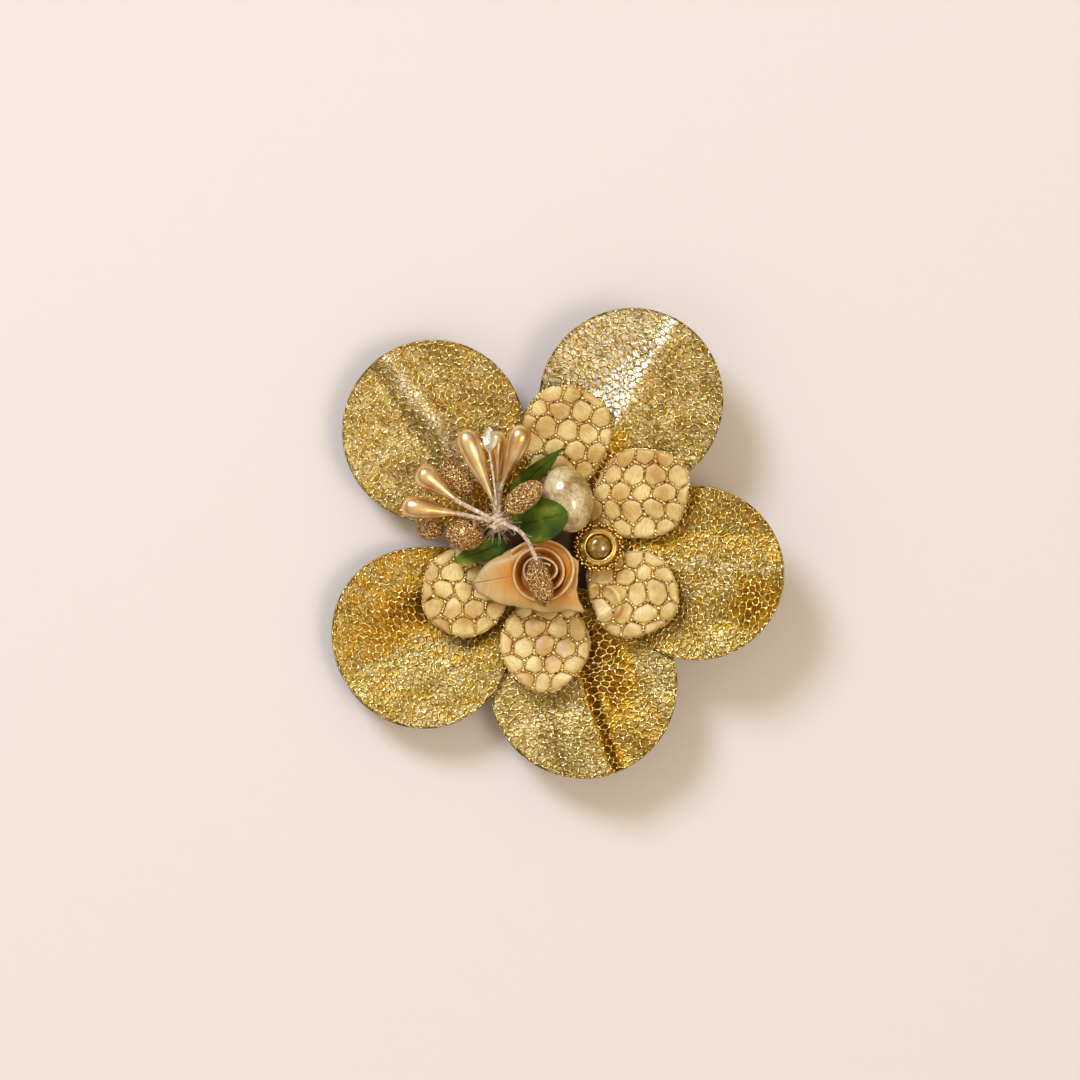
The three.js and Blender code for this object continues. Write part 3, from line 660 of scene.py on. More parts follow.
# For each petal: its direction, the distance to the middle of its round part, its length
# past that, its half width, its seat height, the lift of its left and right edges, and
# its pleat: where the crease runs at the neck and at the rim, and there its height and
# how wide its left and right flanks are.
OUTER_PETALS = [
    {"angle": 136, "reach": 36, "length": 20, "half": 20, "base": 2.2, "left": 2.6, "right": 1.6,
     "crease": (0.6, -3.9), "height": (1.6, 1.2), "left_flank": (5, 4), "right_flank": (5, 4)},
    {"angle": 61, "reach": 36, "length": 20.5, "half": 20, "base": 2.2, "left": 1.6, "right": 2.4,
     "crease": (0.9, 0.2), "height": (3.1, 1.3), "left_flank": (9.5, 2.4), "right_flank": (14, 14)},
    {"angle": -11, "reach": 32, "length": 19.5, "half": 19, "base": 2.2, "left": 2.0, "right": 2.6,
     "crease": (0, 2.9), "height": (0.9, 0.9), "left_flank": (8, 9), "right_flank": (9, 12)},
    {"angle": -77, "reach": 31.5, "length": 20.5, "half": 20.5, "base": 0.9, "left": 2.6, "right": 0.6,
     "crease": (-1, 1.7), "height": (2.2, 1.6), "left_flank": (3, 2.4), "right_flank": (12, 12)},
    {"angle": -144.5, "reach": 35.5, "length": 19, "half": 20, "base": 2.2, "left": 2.8, "right": 2.2,
     "crease": (0.3, -3.3), "height": (-2.0, -1.0), "left_flank": (9, 10), "right_flank": (8, 9)},
]


def edge_swell(petal, along, across):
    """How much further out than a circle the petal's edge is in one direction."""
    turn = math.atan2(across, along)
    bulge = sum(size * math.cos(waves * turn - phase) for waves, size, phase in petal.get("bulges", ()))
    return 1 + bulge * (1 + math.cos(turn)) / 2


def spot_on_petal(petal, along, across):
    """Distance out from the axis and sideways, from a place on the unit disc."""
    swell = edge_swell(petal, along, across)
    along, across = along * swell, across * swell
    if along < 0:
        return petal["reach"] + along * (petal["reach"] - NECK), (
            petal["half"] * across * (1 - NECK_TAPER * along * along))
    return petal["reach"] + along * petal["length"], petal["half"] * across


def disc_of_spot(petal, u, v):
    """The place on the unit disc, from the distances out and sideways."""
    if u < petal["reach"]:
        along = (u - petal["reach"]) / (petal["reach"] - NECK)
        across = v / (petal["half"] * max(0.2, 1 - NECK_TAPER * along * along))
    else:
        along, across = (u - petal["reach"]) / petal["length"], v / petal["half"]
    swell = edge_swell(petal, along, across)
    return along / swell, across / swell


def share_out(petal, u):
    """The share of its length at which a place lies on a petal."""
    return (u - NECK) / (petal["reach"] + petal["length"] - NECK)


def mixed(pair, share):
    return pair[0] + (pair[1] - pair[0]) * share


def beside_crease(petal, u, v):
    """How far a place is to the left of the petal's crease, and how high the pleat is there."""
    share = min(1.0, max(0.0, (u - CREASE_START) / CREASE_SPAN))
    aside = v - mixed(petal["crease"], share)
    flank = mixed(petal["left_flank"] if aside > 0 else petal["right_flank"], share)
    height = mixed(petal["height"], share) * min(1.0, max(0.0, (u - NECK) / PLEAT_RAMP))
    slope = max(0.0, 1 - math.sqrt(aside * aside + 0.04) / flank)
    return aside, height * slope * (1.4 - 0.4 * slope)


def petal_place(petal, u, v, height):
    """The finished point of a place on a petal at a height over the felt."""
    heading = math.radians(petal["angle"])
    x = u * math.cos(heading) - v * math.sin(heading)
    y = u * math.sin(heading) + v * math.cos(heading)
    return over(x, y, height)


def outer_point(petal, along, across, lift=0.0):
    u, v = spot_on_petal(petal, along, across)
    rise = share_out(petal, u)
    side = v / petal["half"]
    edge = petal["left"] if side > 0 else petal["right"]
    _, pleat = beside_crease(petal, u, v)
    height = petal["base"] + rise * (OUTER_RISE + edge * side * side) + pleat
    ripple = noise.noise(Vector((u * 0.13, v * 0.13, petal["angle"]))) * 0.9
    return petal_place(petal, u, v, height + ripple * rise + lift)


def bell(value, middle, width):
    """1 at the middle, falling away on both sides."""
    return math.exp(-((value - middle) / width) ** 2)


def painted_light_tone(number, u, aside):
    """Painted reflection, highlight and shade on the film: how deep in the gold a place is painted,
    from 0, silvery, to 1, dark amber. Each flank of a crease is painted lighter or darker by how it faces
    the light, crease lines and some rims get painted highlights, and the hollows beside them and some
    cells near the rims get painted shade or dark reflection.
    """
    # Painted shade towards the flower's middle, where the petals shade one another.
    inward = bell(u, 14, 9)
    if number == 1:
        tone = 0.42 if aside > 0 else 0.47
        tone -= 0.32 * bell(aside, 0, 1.6)
    elif number == 2:
        tone = 0.22 if aside > 0 else 0.41
        tone -= 0.22 * bell(aside, 4, 5) * bell(u, 30, 12) + 0.35 * bell(aside, 0.3, 0.9)
        tone += 0.6 * bell(aside, -2.5, 3) * bell(u, 22, 6)
    elif number == 3:
        tone = 0.56 if aside > 0 else 0.5
        tone += 0.45 * bell(aside, -6, 6) * bell(u, 46, 4.5) - 0.2 * bell(aside, 1.5, 2)
    elif number == 4:
        tone = 0.4 if aside < 0 else 0.58
        tone += 0.75 * bell(aside, 6, 4) * bell(u, 28, 8) + 0.55 * bell(aside, 1.4, 1.1)
        tone -= 0.22 * bell(aside, 16, 4) * bell(u, 30, 9)
    else:
        tone = 0.5 if aside > 0 else 0.56
        tone += 0.4 * bell(aside, -5, 5) * bell(u, 32, 10)
    return min(1.0, max(0.0, tone + 0.8 * inward * max(0.0, 0.9 - tone)))


def on_petal(petal, point):
    """How far out and how far sideways on a petal a finished point lies."""
    heading = math.radians(petal["angle"])
    x = point.x / MM - AXIS_X
    y = point.y / MM - AXIS_Y
    return x * math.cos(heading) + y * math.sin(heading), y * math.cos(heading) - x * math.sin(heading)


def around(count):
    """Even places round the unit circle."""
    turns = [2 * math.pi * i / count for i in range(count)]
    return [(math.cos(turn), math.sin(turn)) for turn in turns]


def make_film(number, petal):
    maker = polar_sheet(lambda a, b: outer_point(petal, a, b), 56, 160)
    bmesh.ops.solidify(maker, geom=maker.faces[:], thickness=FILM_THICKNESS * MM)
    piece = finished(f"petal_film_{number}", maker, [FILM], UPPER, "gold_tissue",
                     f"outer_petal_{number}")
    # The "fold" attribute carries painted reflection, highlight and shade for each place on the film.
    fold = piece.data.attributes.new("fold", "FLOAT", "POINT")
    for i, vertex in enumerate(piece.data.vertices):
        u, v = on_petal(petal, vertex.co)
        fold.data[i].value = painted_light_tone(number, u, beside_crease(petal, u, v)[0])
    return piece


HEX = (2.0, 2.1, 1.95, 2.1, 2.0)  # net cell across its flats, petal by petal
PULL = 0.7  # the net is stretched sideways, which makes its cells this much shorter
LIFT = 0.24  # middle of the net over the film
THREAD = 0.29
NET_JITTER = 0.2  # how far a knot may lie from its place
NET_DRIFT = 1.3
RIM_RADIUS = 0.25


def make_net(number, petal):
    """Hexagons laid over the flat petal, cut to its outline and dropped onto it, with
    the fused rim round them."""
    pick = random.Random(number)
    maker = bmesh.new()
    reach = petal["length"] + petal["reach"]
    cell = HEX[number - 1]
    for u, v, place in honeycomb(cell, reach / PULL, petal["reach"] / PULL):
        if math.hypot(*disc_of_spot(petal, u * PULL, v)) < 1.03 and u * PULL > NECK:
            bmesh.ops.create_circle(maker, cap_ends=True, segments=6, radius=cell / math.sqrt(3),
                                    matrix=place)
    bmesh.ops.remove_doubles(maker, verts=maker.verts, dist=0.1)
    for vertex in maker.verts:
        u, v = drift(vertex.co.x * PULL, vertex.co.y, number, NET_DRIFT)
        u += pick.uniform(-NET_JITTER, NET_JITTER)
        v += pick.uniform(-NET_JITTER, NET_JITTER)
        along, across = disc_of_spot(petal, u, v)
        far = max(1.0, math.hypot(along, across))
        vertex.co = outer_point(petal, along / far, across / far, LIFT)
    bmesh.ops.remove_doubles(maker, verts=maker.verts, dist=0.15 * MM)
    bmesh.ops.dissolve_degenerate(maker, edges=maker.edges, dist=0.05 * MM)
    bmesh.ops.recalc_face_normals(maker, faces=maker.faces)
    bmesh.ops.wireframe(maker, faces=maker.faces[:], thickness=THREAD * MM, use_replace=True,
                        use_boundary=True, use_even_offset=False, use_relative_offset=False,
                        use_crease=False)
    rim = [outer_point(petal, a, b, 0.1) for a, b in around(150)]
    tube(maker, rim + rim[:1], RIM_RADIUS * MM, 5, 1)
    piece = finished(f"petal_net_{number}", maker, [FINE_THREAD, EDGE], UPPER, "gold_tissue",
                     f"outer_petal_{number}")
    return subdivided(piece, 1)


def make_outer_petal(number, petal):
    film = make_film(number, petal)
    net = make_net(number, petal)
    outline = [spot_on_petal(petal, *place) for place in around(90)]


for index, data in enumerate(OUTER_PETALS, 1):
    make_outer_petal(index, data)

# ---- inner petals --------------------------------------------------------------

INNER_BASE = 4.0
INNER_RISE = 4.4
SATIN_THICKNESS = 0.3
PUFF_CELL = 4.7  # puffs' distance from one another
PUFF_RADIUS = 2.9
PUFF_HEIGHT = 1.25
PUFF_DRIFT = 1.4  # how unevenly the puffs lie
GAP_HEIGHT = 0.1  # satin between the puffs, over the petal's plain surface
NET_BASE = 0.25

# For each petal: its direction, the distance to its middle, its half width, its length past
# the middle, a curl (its place out and sideways, height, radius of its ridge and width) and
# the bulges of its edge (waves round it, size and phase).
INNER_PETALS = [
    {"angle": 82, "reach": 25.5, "half": 9.8, "length": 9.8, "curl": (30, 9, 0.8, 0, 3.4),
     "bulges": ((3, 0.04, 2.4), (5, 0.015, 1.0))},
    {"angle": 29.5, "reach": 23.5, "half": 10, "length": 10, "curl": (31, -6, 0.6, 0, 3.4),
     "bulges": ((4, 0.045, 0.45), (3, 0.02, 0.3))},
    {"angle": -30.5, "reach": 21, "half": 9.8, "length": 9.8, "curl": (15.8, -5.4, 1.7, 4.1, 0.9),
     "bulges": ((4, 0.04, 0.2), (3, 0.025, 2.0))},
    {"angle": -93.5, "reach": 22, "half": 10, "length": 10, "curl": (27, 7, 0.9, 0, 3.4),
     "bulges": ((3, 0.045, 0.0), (5, 0.015, 0.7))},
    {"angle": -151.5, "reach": 21.5, "half": 9.8, "length": 9.8, "curl": (28, 5, 0.7, 0, 3.4),
     "bulges": ((2, 0.03, 1.5), (5, 0.02, 0.0))},
]


def puffiness(petal, u, v):
    """How high a puff stands at a place, from 0 in the gaps to 1 on top."""
    middle, inside = nearest_cell(PUFF_CELL, petal["reach"], u, v)
    off = math.hypot(u - middle[0], v - middle[1]) / PUFF_RADIUS
    shoulder = math.sqrt(1 - (1 - min(1.0, inside)) ** 2)
    return min(shoulder, math.sqrt(max(0.0, 1 - off ** 3)))


def inner_point(petal, along, across, lift, puffed=True):
    """A point of the satin, or of the plain surface that the net follows."""
    u, v = spot_on_petal(petal, along, across)
    distance = math.hypot(along, across)
    rise = share_out(petal, u)
    soft = 1.0
    if puffed:
        soft = puffiness(petal, *drift(u, v, petal["angle"], PUFF_DRIFT))
    rim = math.sqrt(max(0.0, 1 - max(0.0, (distance - 0.9) / 0.1) ** 2))
    curl_u, curl_v, curl_height, curl_reach, curl_width = petal["curl"]
    curl = curl_height * bell(math.hypot(u - curl_u, v - curl_v), curl_reach, curl_width)
    ripple = 0.5 * noise.noise(Vector((u * 0.2, v * 0.2, petal["angle"])))
    height = INNER_BASE + INNER_RISE * rise + curl + ripple + lift
    height += (GAP_HEIGHT + PUFF_HEIGHT * soft) * rim if puffed else NET_BASE * rim
    return petal_place(petal, u, v, height)


def make_inner_petal(number, petal):
    def weave(spot, middle):
        """Each puff gathers the weave its own way."""
        u, v = drift(*spot_on_petal(petal, *middle), petal["angle"], PUFF_DRIFT)
        (cell_u, cell_v), _ = nearest_cell(PUFF_CELL, petal["reach"], u, v)
        turn = 1.2 * noise.noise(Vector((cell_u, cell_v, number * 3.3))) + 0.4
        u, v = spot_on_petal(petal, *spot)
        u, v = u - cell_u, v - cell_v
        return (u * math.cos(turn) - v * math.sin(turn) + cell_u * 1.7,
                u * math.sin(turn) + v * math.cos(turn) + cell_v * 1.3)

    maker = polar_sheet(lambda a, b: inner_point(petal, a, b, 0.0), 56, 150, weave)
    bmesh.ops.solidify(maker, geom=maker.faces[:], thickness=SATIN_THICKNESS * MM)
    cloth = finished(f"puffed_petal_{number}", maker, [SATIN], UPPER, "peach_satin",
                     f"inner_petal_{number}")
    # Each place's puff height, which the satin turns into painted shade in the gaps.
    puff = cloth.data.attributes.new("puff", "FLOAT", "POINT")
    for i, vertex in enumerate(cloth.data.vertices):
        u, v = drift(*on_petal(petal, vertex.co), petal["angle"], PUFF_DRIFT)
        puff.data[i].value = puffiness(petal, u, v)


def make_inner_net(number, petal):
    """Coarse net drawn tight round the puffs, with bright knots where its threads meet."""
    maker = bmesh.new()
    for u, v, place in honeycomb(PUFF_CELL, 40, petal["reach"]):
        if math.hypot(*disc_of_spot(petal, u, v)) < 1.2 and u > NECK:
            bmesh.ops.create_circle(maker, cap_ends=True, segments=6, radius=PUFF_CELL / math.sqrt(3),
                                    matrix=place)
    bmesh.ops.remove_doubles(maker, verts=maker.verts, dist=0.1)
    bmesh.ops.subdivide_edges(maker, edges=maker.edges[:], cuts=3)
    strands = [[vertex.co.copy() for vertex in edge.verts] for edge in maker.edges]
    knots = [vertex.co.copy() for vertex in maker.verts if len(vertex.link_edges) == 3]
    maker.free()
    maker = bmesh.new()

    def on_cloth(spot, lift):
        u, v = spot.x, spot.y
        shifted = drift(u, v, petal["angle"], PUFF_DRIFT)
        u, v = 2 * u - shifted[0], 2 * v - shifted[1]
        along, across = disc_of_spot(petal, u, v)
        if math.hypot(along, across) > 0.99:
            return None
        return inner_point(petal, along, across, lift, puffed=False)

    for ends in strands:
        start, end = (on_cloth(spot, 0.8) for spot in ends)
        if start and end:
            tube(maker, [start, end], 0.19 * MM, 5)
    pick = random.Random(number)
    beads = [(knot, 1.05, pick.uniform(0.4, 0.56)) for knot in knots]
    beads += [(ends[0], 1.0, pick.uniform(0.2, 0.32)) for ends in strands if pick.random() < 0.75]
    for knot, lift, radius in beads:
        spot = on_cloth(knot, lift)
        if spot:
            made = bmesh.ops.create_icosphere(maker, subdivisions=2 if radius > 0.3 else 1,
                                              radius=radius * MM, matrix=Matrix.Translation(spot))
            for vertex in made["verts"]:
                for face in vertex.link_faces:
                    face.material_index = 1
    rim = [inner_point(petal, a * 0.995, b * 0.995, 0.1, puffed=False) for a, b in around(90)]
    tube(maker, rim + rim[:1], 0.2 * MM, 5)
    finished(f"puff_net_{number}", maker, [COARSE_THREAD, KNOT_THREAD], UPPER, "peach_satin",
             f"inner_petal_{number}")


for index, data in enumerate(INNER_PETALS, 1):
    make_inner_petal(index, data)
    make_inner_net(index, data)

# ---- ribbon rose ---------------------------------------------------------------

ROSE = (-4.3, -6.6, 7.3)
COIL = (-2.4, -6.1)  # middle of the outermost turn, which lies off the wrap's middle
HEART = (0.8, 0.7)  # the innermost turn beside it
ROSE_TURNS = 3.3
RIBBON_THICKNESS = 0.12
WALL_SHARE = 0.8  # of the ribbon's width; the rest is the rolled edge
RIBBON_ROLL = 0.24  # radius of the rolled edge

# Outline of the loose outer wrap: direction and distance from the rose's middle.
WRAP_OUTLINE = [
    (-162, 12.4), (-153, 10.8), (-120, 7.8), (-91, 7.4), (-60, 9.4), (-43, 11.2), (-35, 14.4),
    (-28, 11.8), (-18, 10.4), (0, 10.2), (16, 10.8), (29, 9.4), (60, 8.2), (96, 6.9), (124, 7.2),
    (146, 7.9), (172, 11), (188, 13),
]


def wrap_reach(degrees):
    """Distance of the outer wrap's edge in a direction."""
    ends = [(WRAP_OUTLINE[-1][0] - 360, WRAP_OUTLINE[-1][1]), *WRAP_OUTLINE,
            (WRAP_OUTLINE[0][0] + 360, WRAP_OUTLINE[0][1])]
    degrees = (degrees + 172) % 360 - 172
    for (a, near), (b, far) in zip(ends, ends[1:]):
        if a <= degrees <= b:
            return near + (far - near) * (degrees - a) / (b - a)
    return ends[0][1]


def make_rose():
    maker = bmesh.new()
    layer = maker.loops.layers.uv.new("flat")
    # The "depth" layer carries painted shade: how deep the ribbon's colour is painted.
    deep = maker.verts.layers.float.new("depth")

    def band(columns, rows, shape):
        """A strip of ribbon: shape gives a point, its painted shade (depth) and its flat place."""
        verts = bmesh.ops.create_grid(maker, x_segments=columns, y_segments=rows, size=1.0)["verts"]
        flat = {}
        for vertex in verts:
            point, depth, flat[vertex] = shape((vertex.co.x + 1) / 2, (vertex.co.y + 1) / 2)
            vertex.co = point
            vertex[deep] = depth
        for face in {face for vertex in verts for face in vertex.link_faces}:
            for loop in face.loops:
                loop[layer].uv = flat[loop.vert]

    def coil(share, across):
        """The rolled heart: a wall that leans out, with a rolled edge on top."""
        turn = 2 * math.pi * ROSE_TURNS * share + 0.6
        rim = 1.15 + 6.5 * share ** 1.2 + 0.22 * math.sin(2.3 * turn)
        top = 6.9 - 1.5 * share + 0.25 * math.sin(1.7 * turn + 1)
        bottom = 2.2
        wall = min(1.0, across / WALL_SHARE)
        radius = rim * (0.74 + 0.26 * wall ** 2)
        height = bottom + (top - bottom) * wall
        if across > WALL_SHARE:
            roll = (across - WALL_SHARE) / (1 - WALL_SHARE) * math.pi * 1.15
            radius += RIBBON_ROLL * (1 - math.cos(roll))
            height += RIBBON_ROLL * math.sin(roll)
        x = COIL[0] + HEART[0] * (1 - share) + 1.06 * radius * math.cos(turn)
        y = COIL[1] + HEART[1] * (1 - share) + 0.95 * radius * math.sin(turn)
        # Painted shade: the wall deepens towards its foot, down between the turns; the rolled edge on top
        # stays pale as painted light.
        depth = 0.1 + 0.9 * (1 - wall) ** 0.6 if across < WALL_SHARE else 0.0
        return over(x, y, ROSE[2] + height), depth, (rim * turn * 0.5, 8 * across)

    def skirt(share, across):
        """The loose outer wrap, cupped where it stands against the coil."""
        degrees = 360 * share - 172
        turn = math.radians(degrees)
        reach = wrap_reach(degrees)
        radius = 5.6 + (reach - 5.6) * across
        inward = 1 - across
        height = 5.0 - 1.1 * across ** 2 + 0.5 * math.sin(2.1 * turn + 0.7) * across
        height += 0.35 * math.sin(5 * turn) * across * (1 - across) * 2
        cupped = max(0.0, math.cos(turn - 0.15))
        height += 1.3 * cupped * across ** 3
        # Painted shade: deeper towards the coil and where the wrap cups against it.
        depth = 0.05 + 0.3 * inward ** 2 + 0.1 * cupped * (1 - across ** 6)
        if across > 0.93:
            height -= 0.5 * ((across - 0.93) / 0.07) ** 2
        x = ROSE[0] + (COIL[0] - ROSE[0]) * inward + radius * math.cos(turn)
        y = ROSE[1] + (COIL[1] - ROSE[1]) * inward + radius * math.sin(turn)
        return over(x, y, ROSE[2] + height), depth, (radius * turn, radius)

    def fold(share, across):
        """The ribbon's lower folds, which close the bottom of the coil."""
        turn = 2 * math.pi * share
        radius = 7.2 * across
        x = COIL[0] + radius * math.cos(turn)
        y = COIL[1] + radius * math.sin(turn)
        height = 3.4 + 0.5 * math.sin(2 * turn) * across
        # Painted shade: the folds deep in the coil get a deep orange.
        return over(x, y, ROSE[2] + height), 0.8, (radius * turn, radius)

    band(260, 16, coil)
    band(180, 22, skirt)
    band(60, 10, fold)
    bmesh.ops.remove_doubles(maker, verts=maker.verts, dist=0.01 * MM)
    bmesh.ops.recalc_face_normals(maker, faces=maker.faces)
    cloth = sum(face.calc_area() for face in maker.faces)
    bmesh.ops.solidify(maker, geom=maker.faces[:], thickness=RIBBON_THICKNESS * MM)
    rose = finished("ribbon_rose", maker, [RIBBON], UPPER, "satin_ribbon", "rose_outer_wraps",
                    "rose_coiled_heart")


make_rose()

# ---- pearl and cabochon --------------------------------------------------------


PEARL_HALF = (5.5, 7.4, 5.4)
GRAIN_GROUPS = 16
SMALL_GRAINS = 18


def make_pearl():
    maker = bmesh.new()
    place = Matrix.Translation(over(3.6, 10, 12)) @ Matrix.Rotation(math.radians(15), 4, "Z")
    bmesh.ops.create_uvsphere(maker, u_segments=64, v_segments=40, radius=1.0)
    for vertex in maker.verts:
        lump = 1 + 0.012 * noise.noise(vertex.co * 3.1)
        vertex.co = place @ (Vector(a * b for a, b in zip(vertex.co, PEARL_HALF)) * lump * MM)
    finished("oval_pearl", maker, [PEARL_LACQUER], UPPER, "pearl", "pearl_bead")


def make_cabochon():
    seat_place = Matrix.Translation(over(10.5, -0.4, 7.8))
    disc = [(0, 0.1), (5, 0.1), (5.1, 0.3), (4.9, 0.6), (4.2, 0.8), (3.9, 1.1), (0, 1.1)]
    maker = spun(disc, 48, seat_place)

    def grain(angle, distance, height, radius):
        spot = Vector((math.cos(angle) * distance, math.sin(angle) * distance, height)) * MM
        bmesh.ops.create_icosphere(maker, subdivisions=2, radius=radius * MM,
                                   matrix=Matrix.Translation(seat_place @ spot))

    for i in range(GRAIN_GROUPS):
        turn = 2 * math.pi * i / GRAIN_GROUPS
        grain(turn, 5.2, 0.95, 0.42)
        grain(turn - 0.13, 4.7, 1.1, 0.34)
        grain(turn + 0.13, 4.7, 1.1, 0.34)
        grain(turn + 0.2, 5.35, 0.7, 0.22)
    for i in range(SMALL_GRAINS):
        grain(2 * math.pi * (i + 0.5) / SMALL_GRAINS, 4.1, 1.15, 0.18)
    for face in maker.faces:
        face.material_index = 1 if len(face.verts) > 3 else 0
    finished("granulated_setting", maker, [PLATE, PATINA], UPPER, "gold_plate",
             "cabochon_granulated_base")

    rim = [(2.8, 1.2), (3.4, 1.2), (3.4, 2.9), (3.32, 3.2), (3.12, 3.32), (2.92, 3.2), (2.8, 2.9),
           (2.8, 1.2)]
    ring = spun(rim, 56, seat_place)
    finished("bezel_ring", ring, [PLATE], UPPER, "gold_plate", "cabochon_bezel_ring")
    crown = [(0, 1.2), (2.7, 1.2), (2.72, 2.2), (2.5, 2.95), (1.9, 3.5), (1.0, 3.82), (0, 3.9)]
    dome = spun(crown, 40, seat_place)
    subdivided(finished("resin_stone", dome, [RESIN], UPPER, "amber_resin", "cabochon_stone"), 1)


make_pearl()
make_cabochon()

# ---- leaves --------------------------------------------------------------------

LEAF_THICKNESS = 0.22
LEAVES = [
    {"base": (-8.2, 4.4, 14.1), "tip": (3.6, 6.6, 18.2), "half": 5.2, "crown": 0.4, "point": 0.25},
    {"base": (-9.6, 0.6, 9.3), "tip": (-21.4, -3.6, 9.9), "half": 2.7, "crown": 0.5, "point": 0.6},
    {"base": (-9.0, 11, 9.2), "tip": (2.6, 21.2, 10.6), "half": 2.3, "crown": 0.5, "point": 0.8},
]


def make_leaf(number, leaf):
    base, tip = over(*leaf["base"]), over(*leaf["tip"])
    spine = tip - base
    across = Vector((-spine.y, spine.x, 0)).normalized()

    def surface(along, side):
        share = (along + 1) / 2
        width = leaf["half"] * (1 - leaf["point"] * share * share) * MM
        vein = 0.3 * bell(side, 0, 0.05) + 0.12 * abs(math.sin(9 * share - 4 * abs(side))) * abs(side)
        wave = 0.45 * math.sin(6 * share + 2 * side) * side * side
        crown = leaf["crown"] * (1 - along * along)
        return base + spine * share + across * side * width + Vector((0, 0, crown - vein + wave)) * MM

    length = spine.length / MM

    def flat(spot, _):
        share = (spot[0] + 1) / 2
        return (spot[1] * leaf["half"] + share * length * 0.5, share * length)

    maker = polar_sheet(surface, 28, 88, flat)
    bmesh.ops.solidify(maker, geom=maker.faces[:], thickness=LEAF_THICKNESS * MM)
    piece = finished(f"cloth_leaf_{number}", maker, [LEAF], UPPER, "leaf_cloth", f"leaf_{number}")


for index, data in enumerate(LEAVES, 1):
    make_leaf(index, data)

# ---- stamens -------------------------------------------------------------------

KNOT = (-11.7, 5, 14.6)  # the binding, where all the threads meet
STAMENS = [
    {"base": (-12.3, 8.8, 15.4), "tip": (-19.2, 25.2, 18.6), "radius": 2.6},
    {"base": (-11, 12.2, 15.6), "tip": (-5.9, 26, 17.8), "radius": 2.6},
    {"base": (-11.6, 12.6, 12), "tip": (-11.8, 25, 12.4), "radius": 2.1},
    {"base": (-20.4, 9.6, 15.6), "tip": (-29.2, 16.6, 16.4), "radius": 2.6},
    {"base": (-19.6, 6.7, 15), "tip": (-32.6, 8.6, 14.6), "radius": 2.6},
]
# Side view of a drop, in shares of its radius and of its length.
DROP_PROFILE = [
    (0, 0), (0.14, 0.02), (0.2, 0.12), (0.33, 0.22), (0.46, 0.32), (0.61, 0.42), (0.76, 0.52),
    (0.89, 0.62), (0.98, 0.72), (1.0, 0.8), (0.95, 0.87), (0.8, 0.93), (0.55, 0.975), (0.25, 0.995),
    (0, 1),
]
THREAD_RADIUS = 0.5
THREAD_PITCH = 3.2


def make_stamen(number, stamen):
    base, tip, knot = over(*stamen["base"]), over(*stamen["tip"]), over(*KNOT)
    length = (tip - base).length / MM
    profile = [(r * stamen["radius"], share * length) for r, share in DROP_PROFILE]
    maker = spun(profile, 28, aimed(base, tip))
    inside = base.lerp(tip, 0.12)
    sag = base.lerp(knot, 0.5) + Vector((0, 0, -0.5)) * MM
    twisted(maker, route([inside, base, sag, knot], 44), THREAD_RADIUS * MM, 3, THREAD_PITCH * MM, 1)
    finished(f"stamen_{number}", maker, [GILT, JUTE], UPPER, "gilt_lacquer", f"stamen_drop_{number}")


for index, data in enumerate(STAMENS, 1):
    make_stamen(index, data)

# ---- buds wound from crimped wire ----------------------------------------------

BUDS = [
    {"at": (-5.9, 10.4, 19.1), "heading": 38, "half": 4.9, "radius": 2.8},
    {"at": (-18.9, 2.3, 12.6), "heading": -10, "half": 4.3, "radius": 3.4},
    {"at": (-26.5, 3.5, 9.6), "heading": 10, "half": 3, "radius": 2.3},
    {"at": (-20.6, 14.6, 10.4), "heading": -50, "half": 5, "radius": 2.9},
    {"at": (-2.4, -8.2, 17.1), "heading": -75, "half": 5.4, "radius": 2.6},
]
WINDINGS = 30
CRIMPS = 20  # crimps in one winding
CRIMP_STEPS = 5
WIRE_RADIUS = 0.15


def make_bud(number, bud, wire):
    """A core wound with rings of crimped wire, each tilted its own way."""
    pick = random.Random(40 + number)
    place = Matrix.Translation(over(*bud["at"])) @ Matrix.Rotation(math.radians(bud["heading"]), 4, "Z")
    size = Vector((bud["half"], bud["radius"], bud["radius"]))
    maker = bmesh.new()
    bmesh.ops.create_icosphere(maker, subdivisions=4, radius=1.0)
    for vertex in maker.verts:
        lump = 0.86 + 0.06 * noise.noise(vertex.co * 4)
        vertex.co = place @ (Vector(a * b for a, b in zip(vertex.co, size)) * lump * MM)
    for _ in range(WINDINGS):
        pole = Vector((pick.uniform(0.3, 1), pick.uniform(-0.8, 0.8), pick.uniform(-0.8, 0.8)))
        pole.normalize()
        shift = pick.uniform(-0.75, 0.75)
        first = pole.orthogonal().normalized()
        second = pole.cross(first)
        ring = math.sqrt(1 - shift * shift)
        phase = pick.uniform(0, 6)
        path = []
        for i in range(CRIMPS * CRIMP_STEPS + 1):
            turn = 2 * math.pi * i / (CRIMPS * CRIMP_STEPS)
            crimp = 0.05 * math.sin(turn * CRIMPS + phase)
            spot = (first * math.cos(turn) + second * math.sin(turn)) * ring + pole * (shift + crimp)
            spot = spot.normalized() * (0.93 + 0.06 * math.cos(turn * CRIMPS + phase))
            path.append(place @ (Vector(a * b for a, b in zip(spot, size)) * MM))
        tube(maker, path, WIRE_RADIUS * MM, 4)
    finished(f"wound_bud_{number}", maker, [wire], UPPER, "glitter_wire", f"glitter_bud_{number}")


for index, data in enumerate(BUDS, 1):
    make_bud(index, data, PALE_WIRE if index == 5 else BRONZE_WIRE)

# ---- crystal, knot and twine ---------------------------------------------------


BINDING_LOOPS = 7
KNOT_HAIRS = 60
TWINE_HAIRS = 26
STEMS = 5


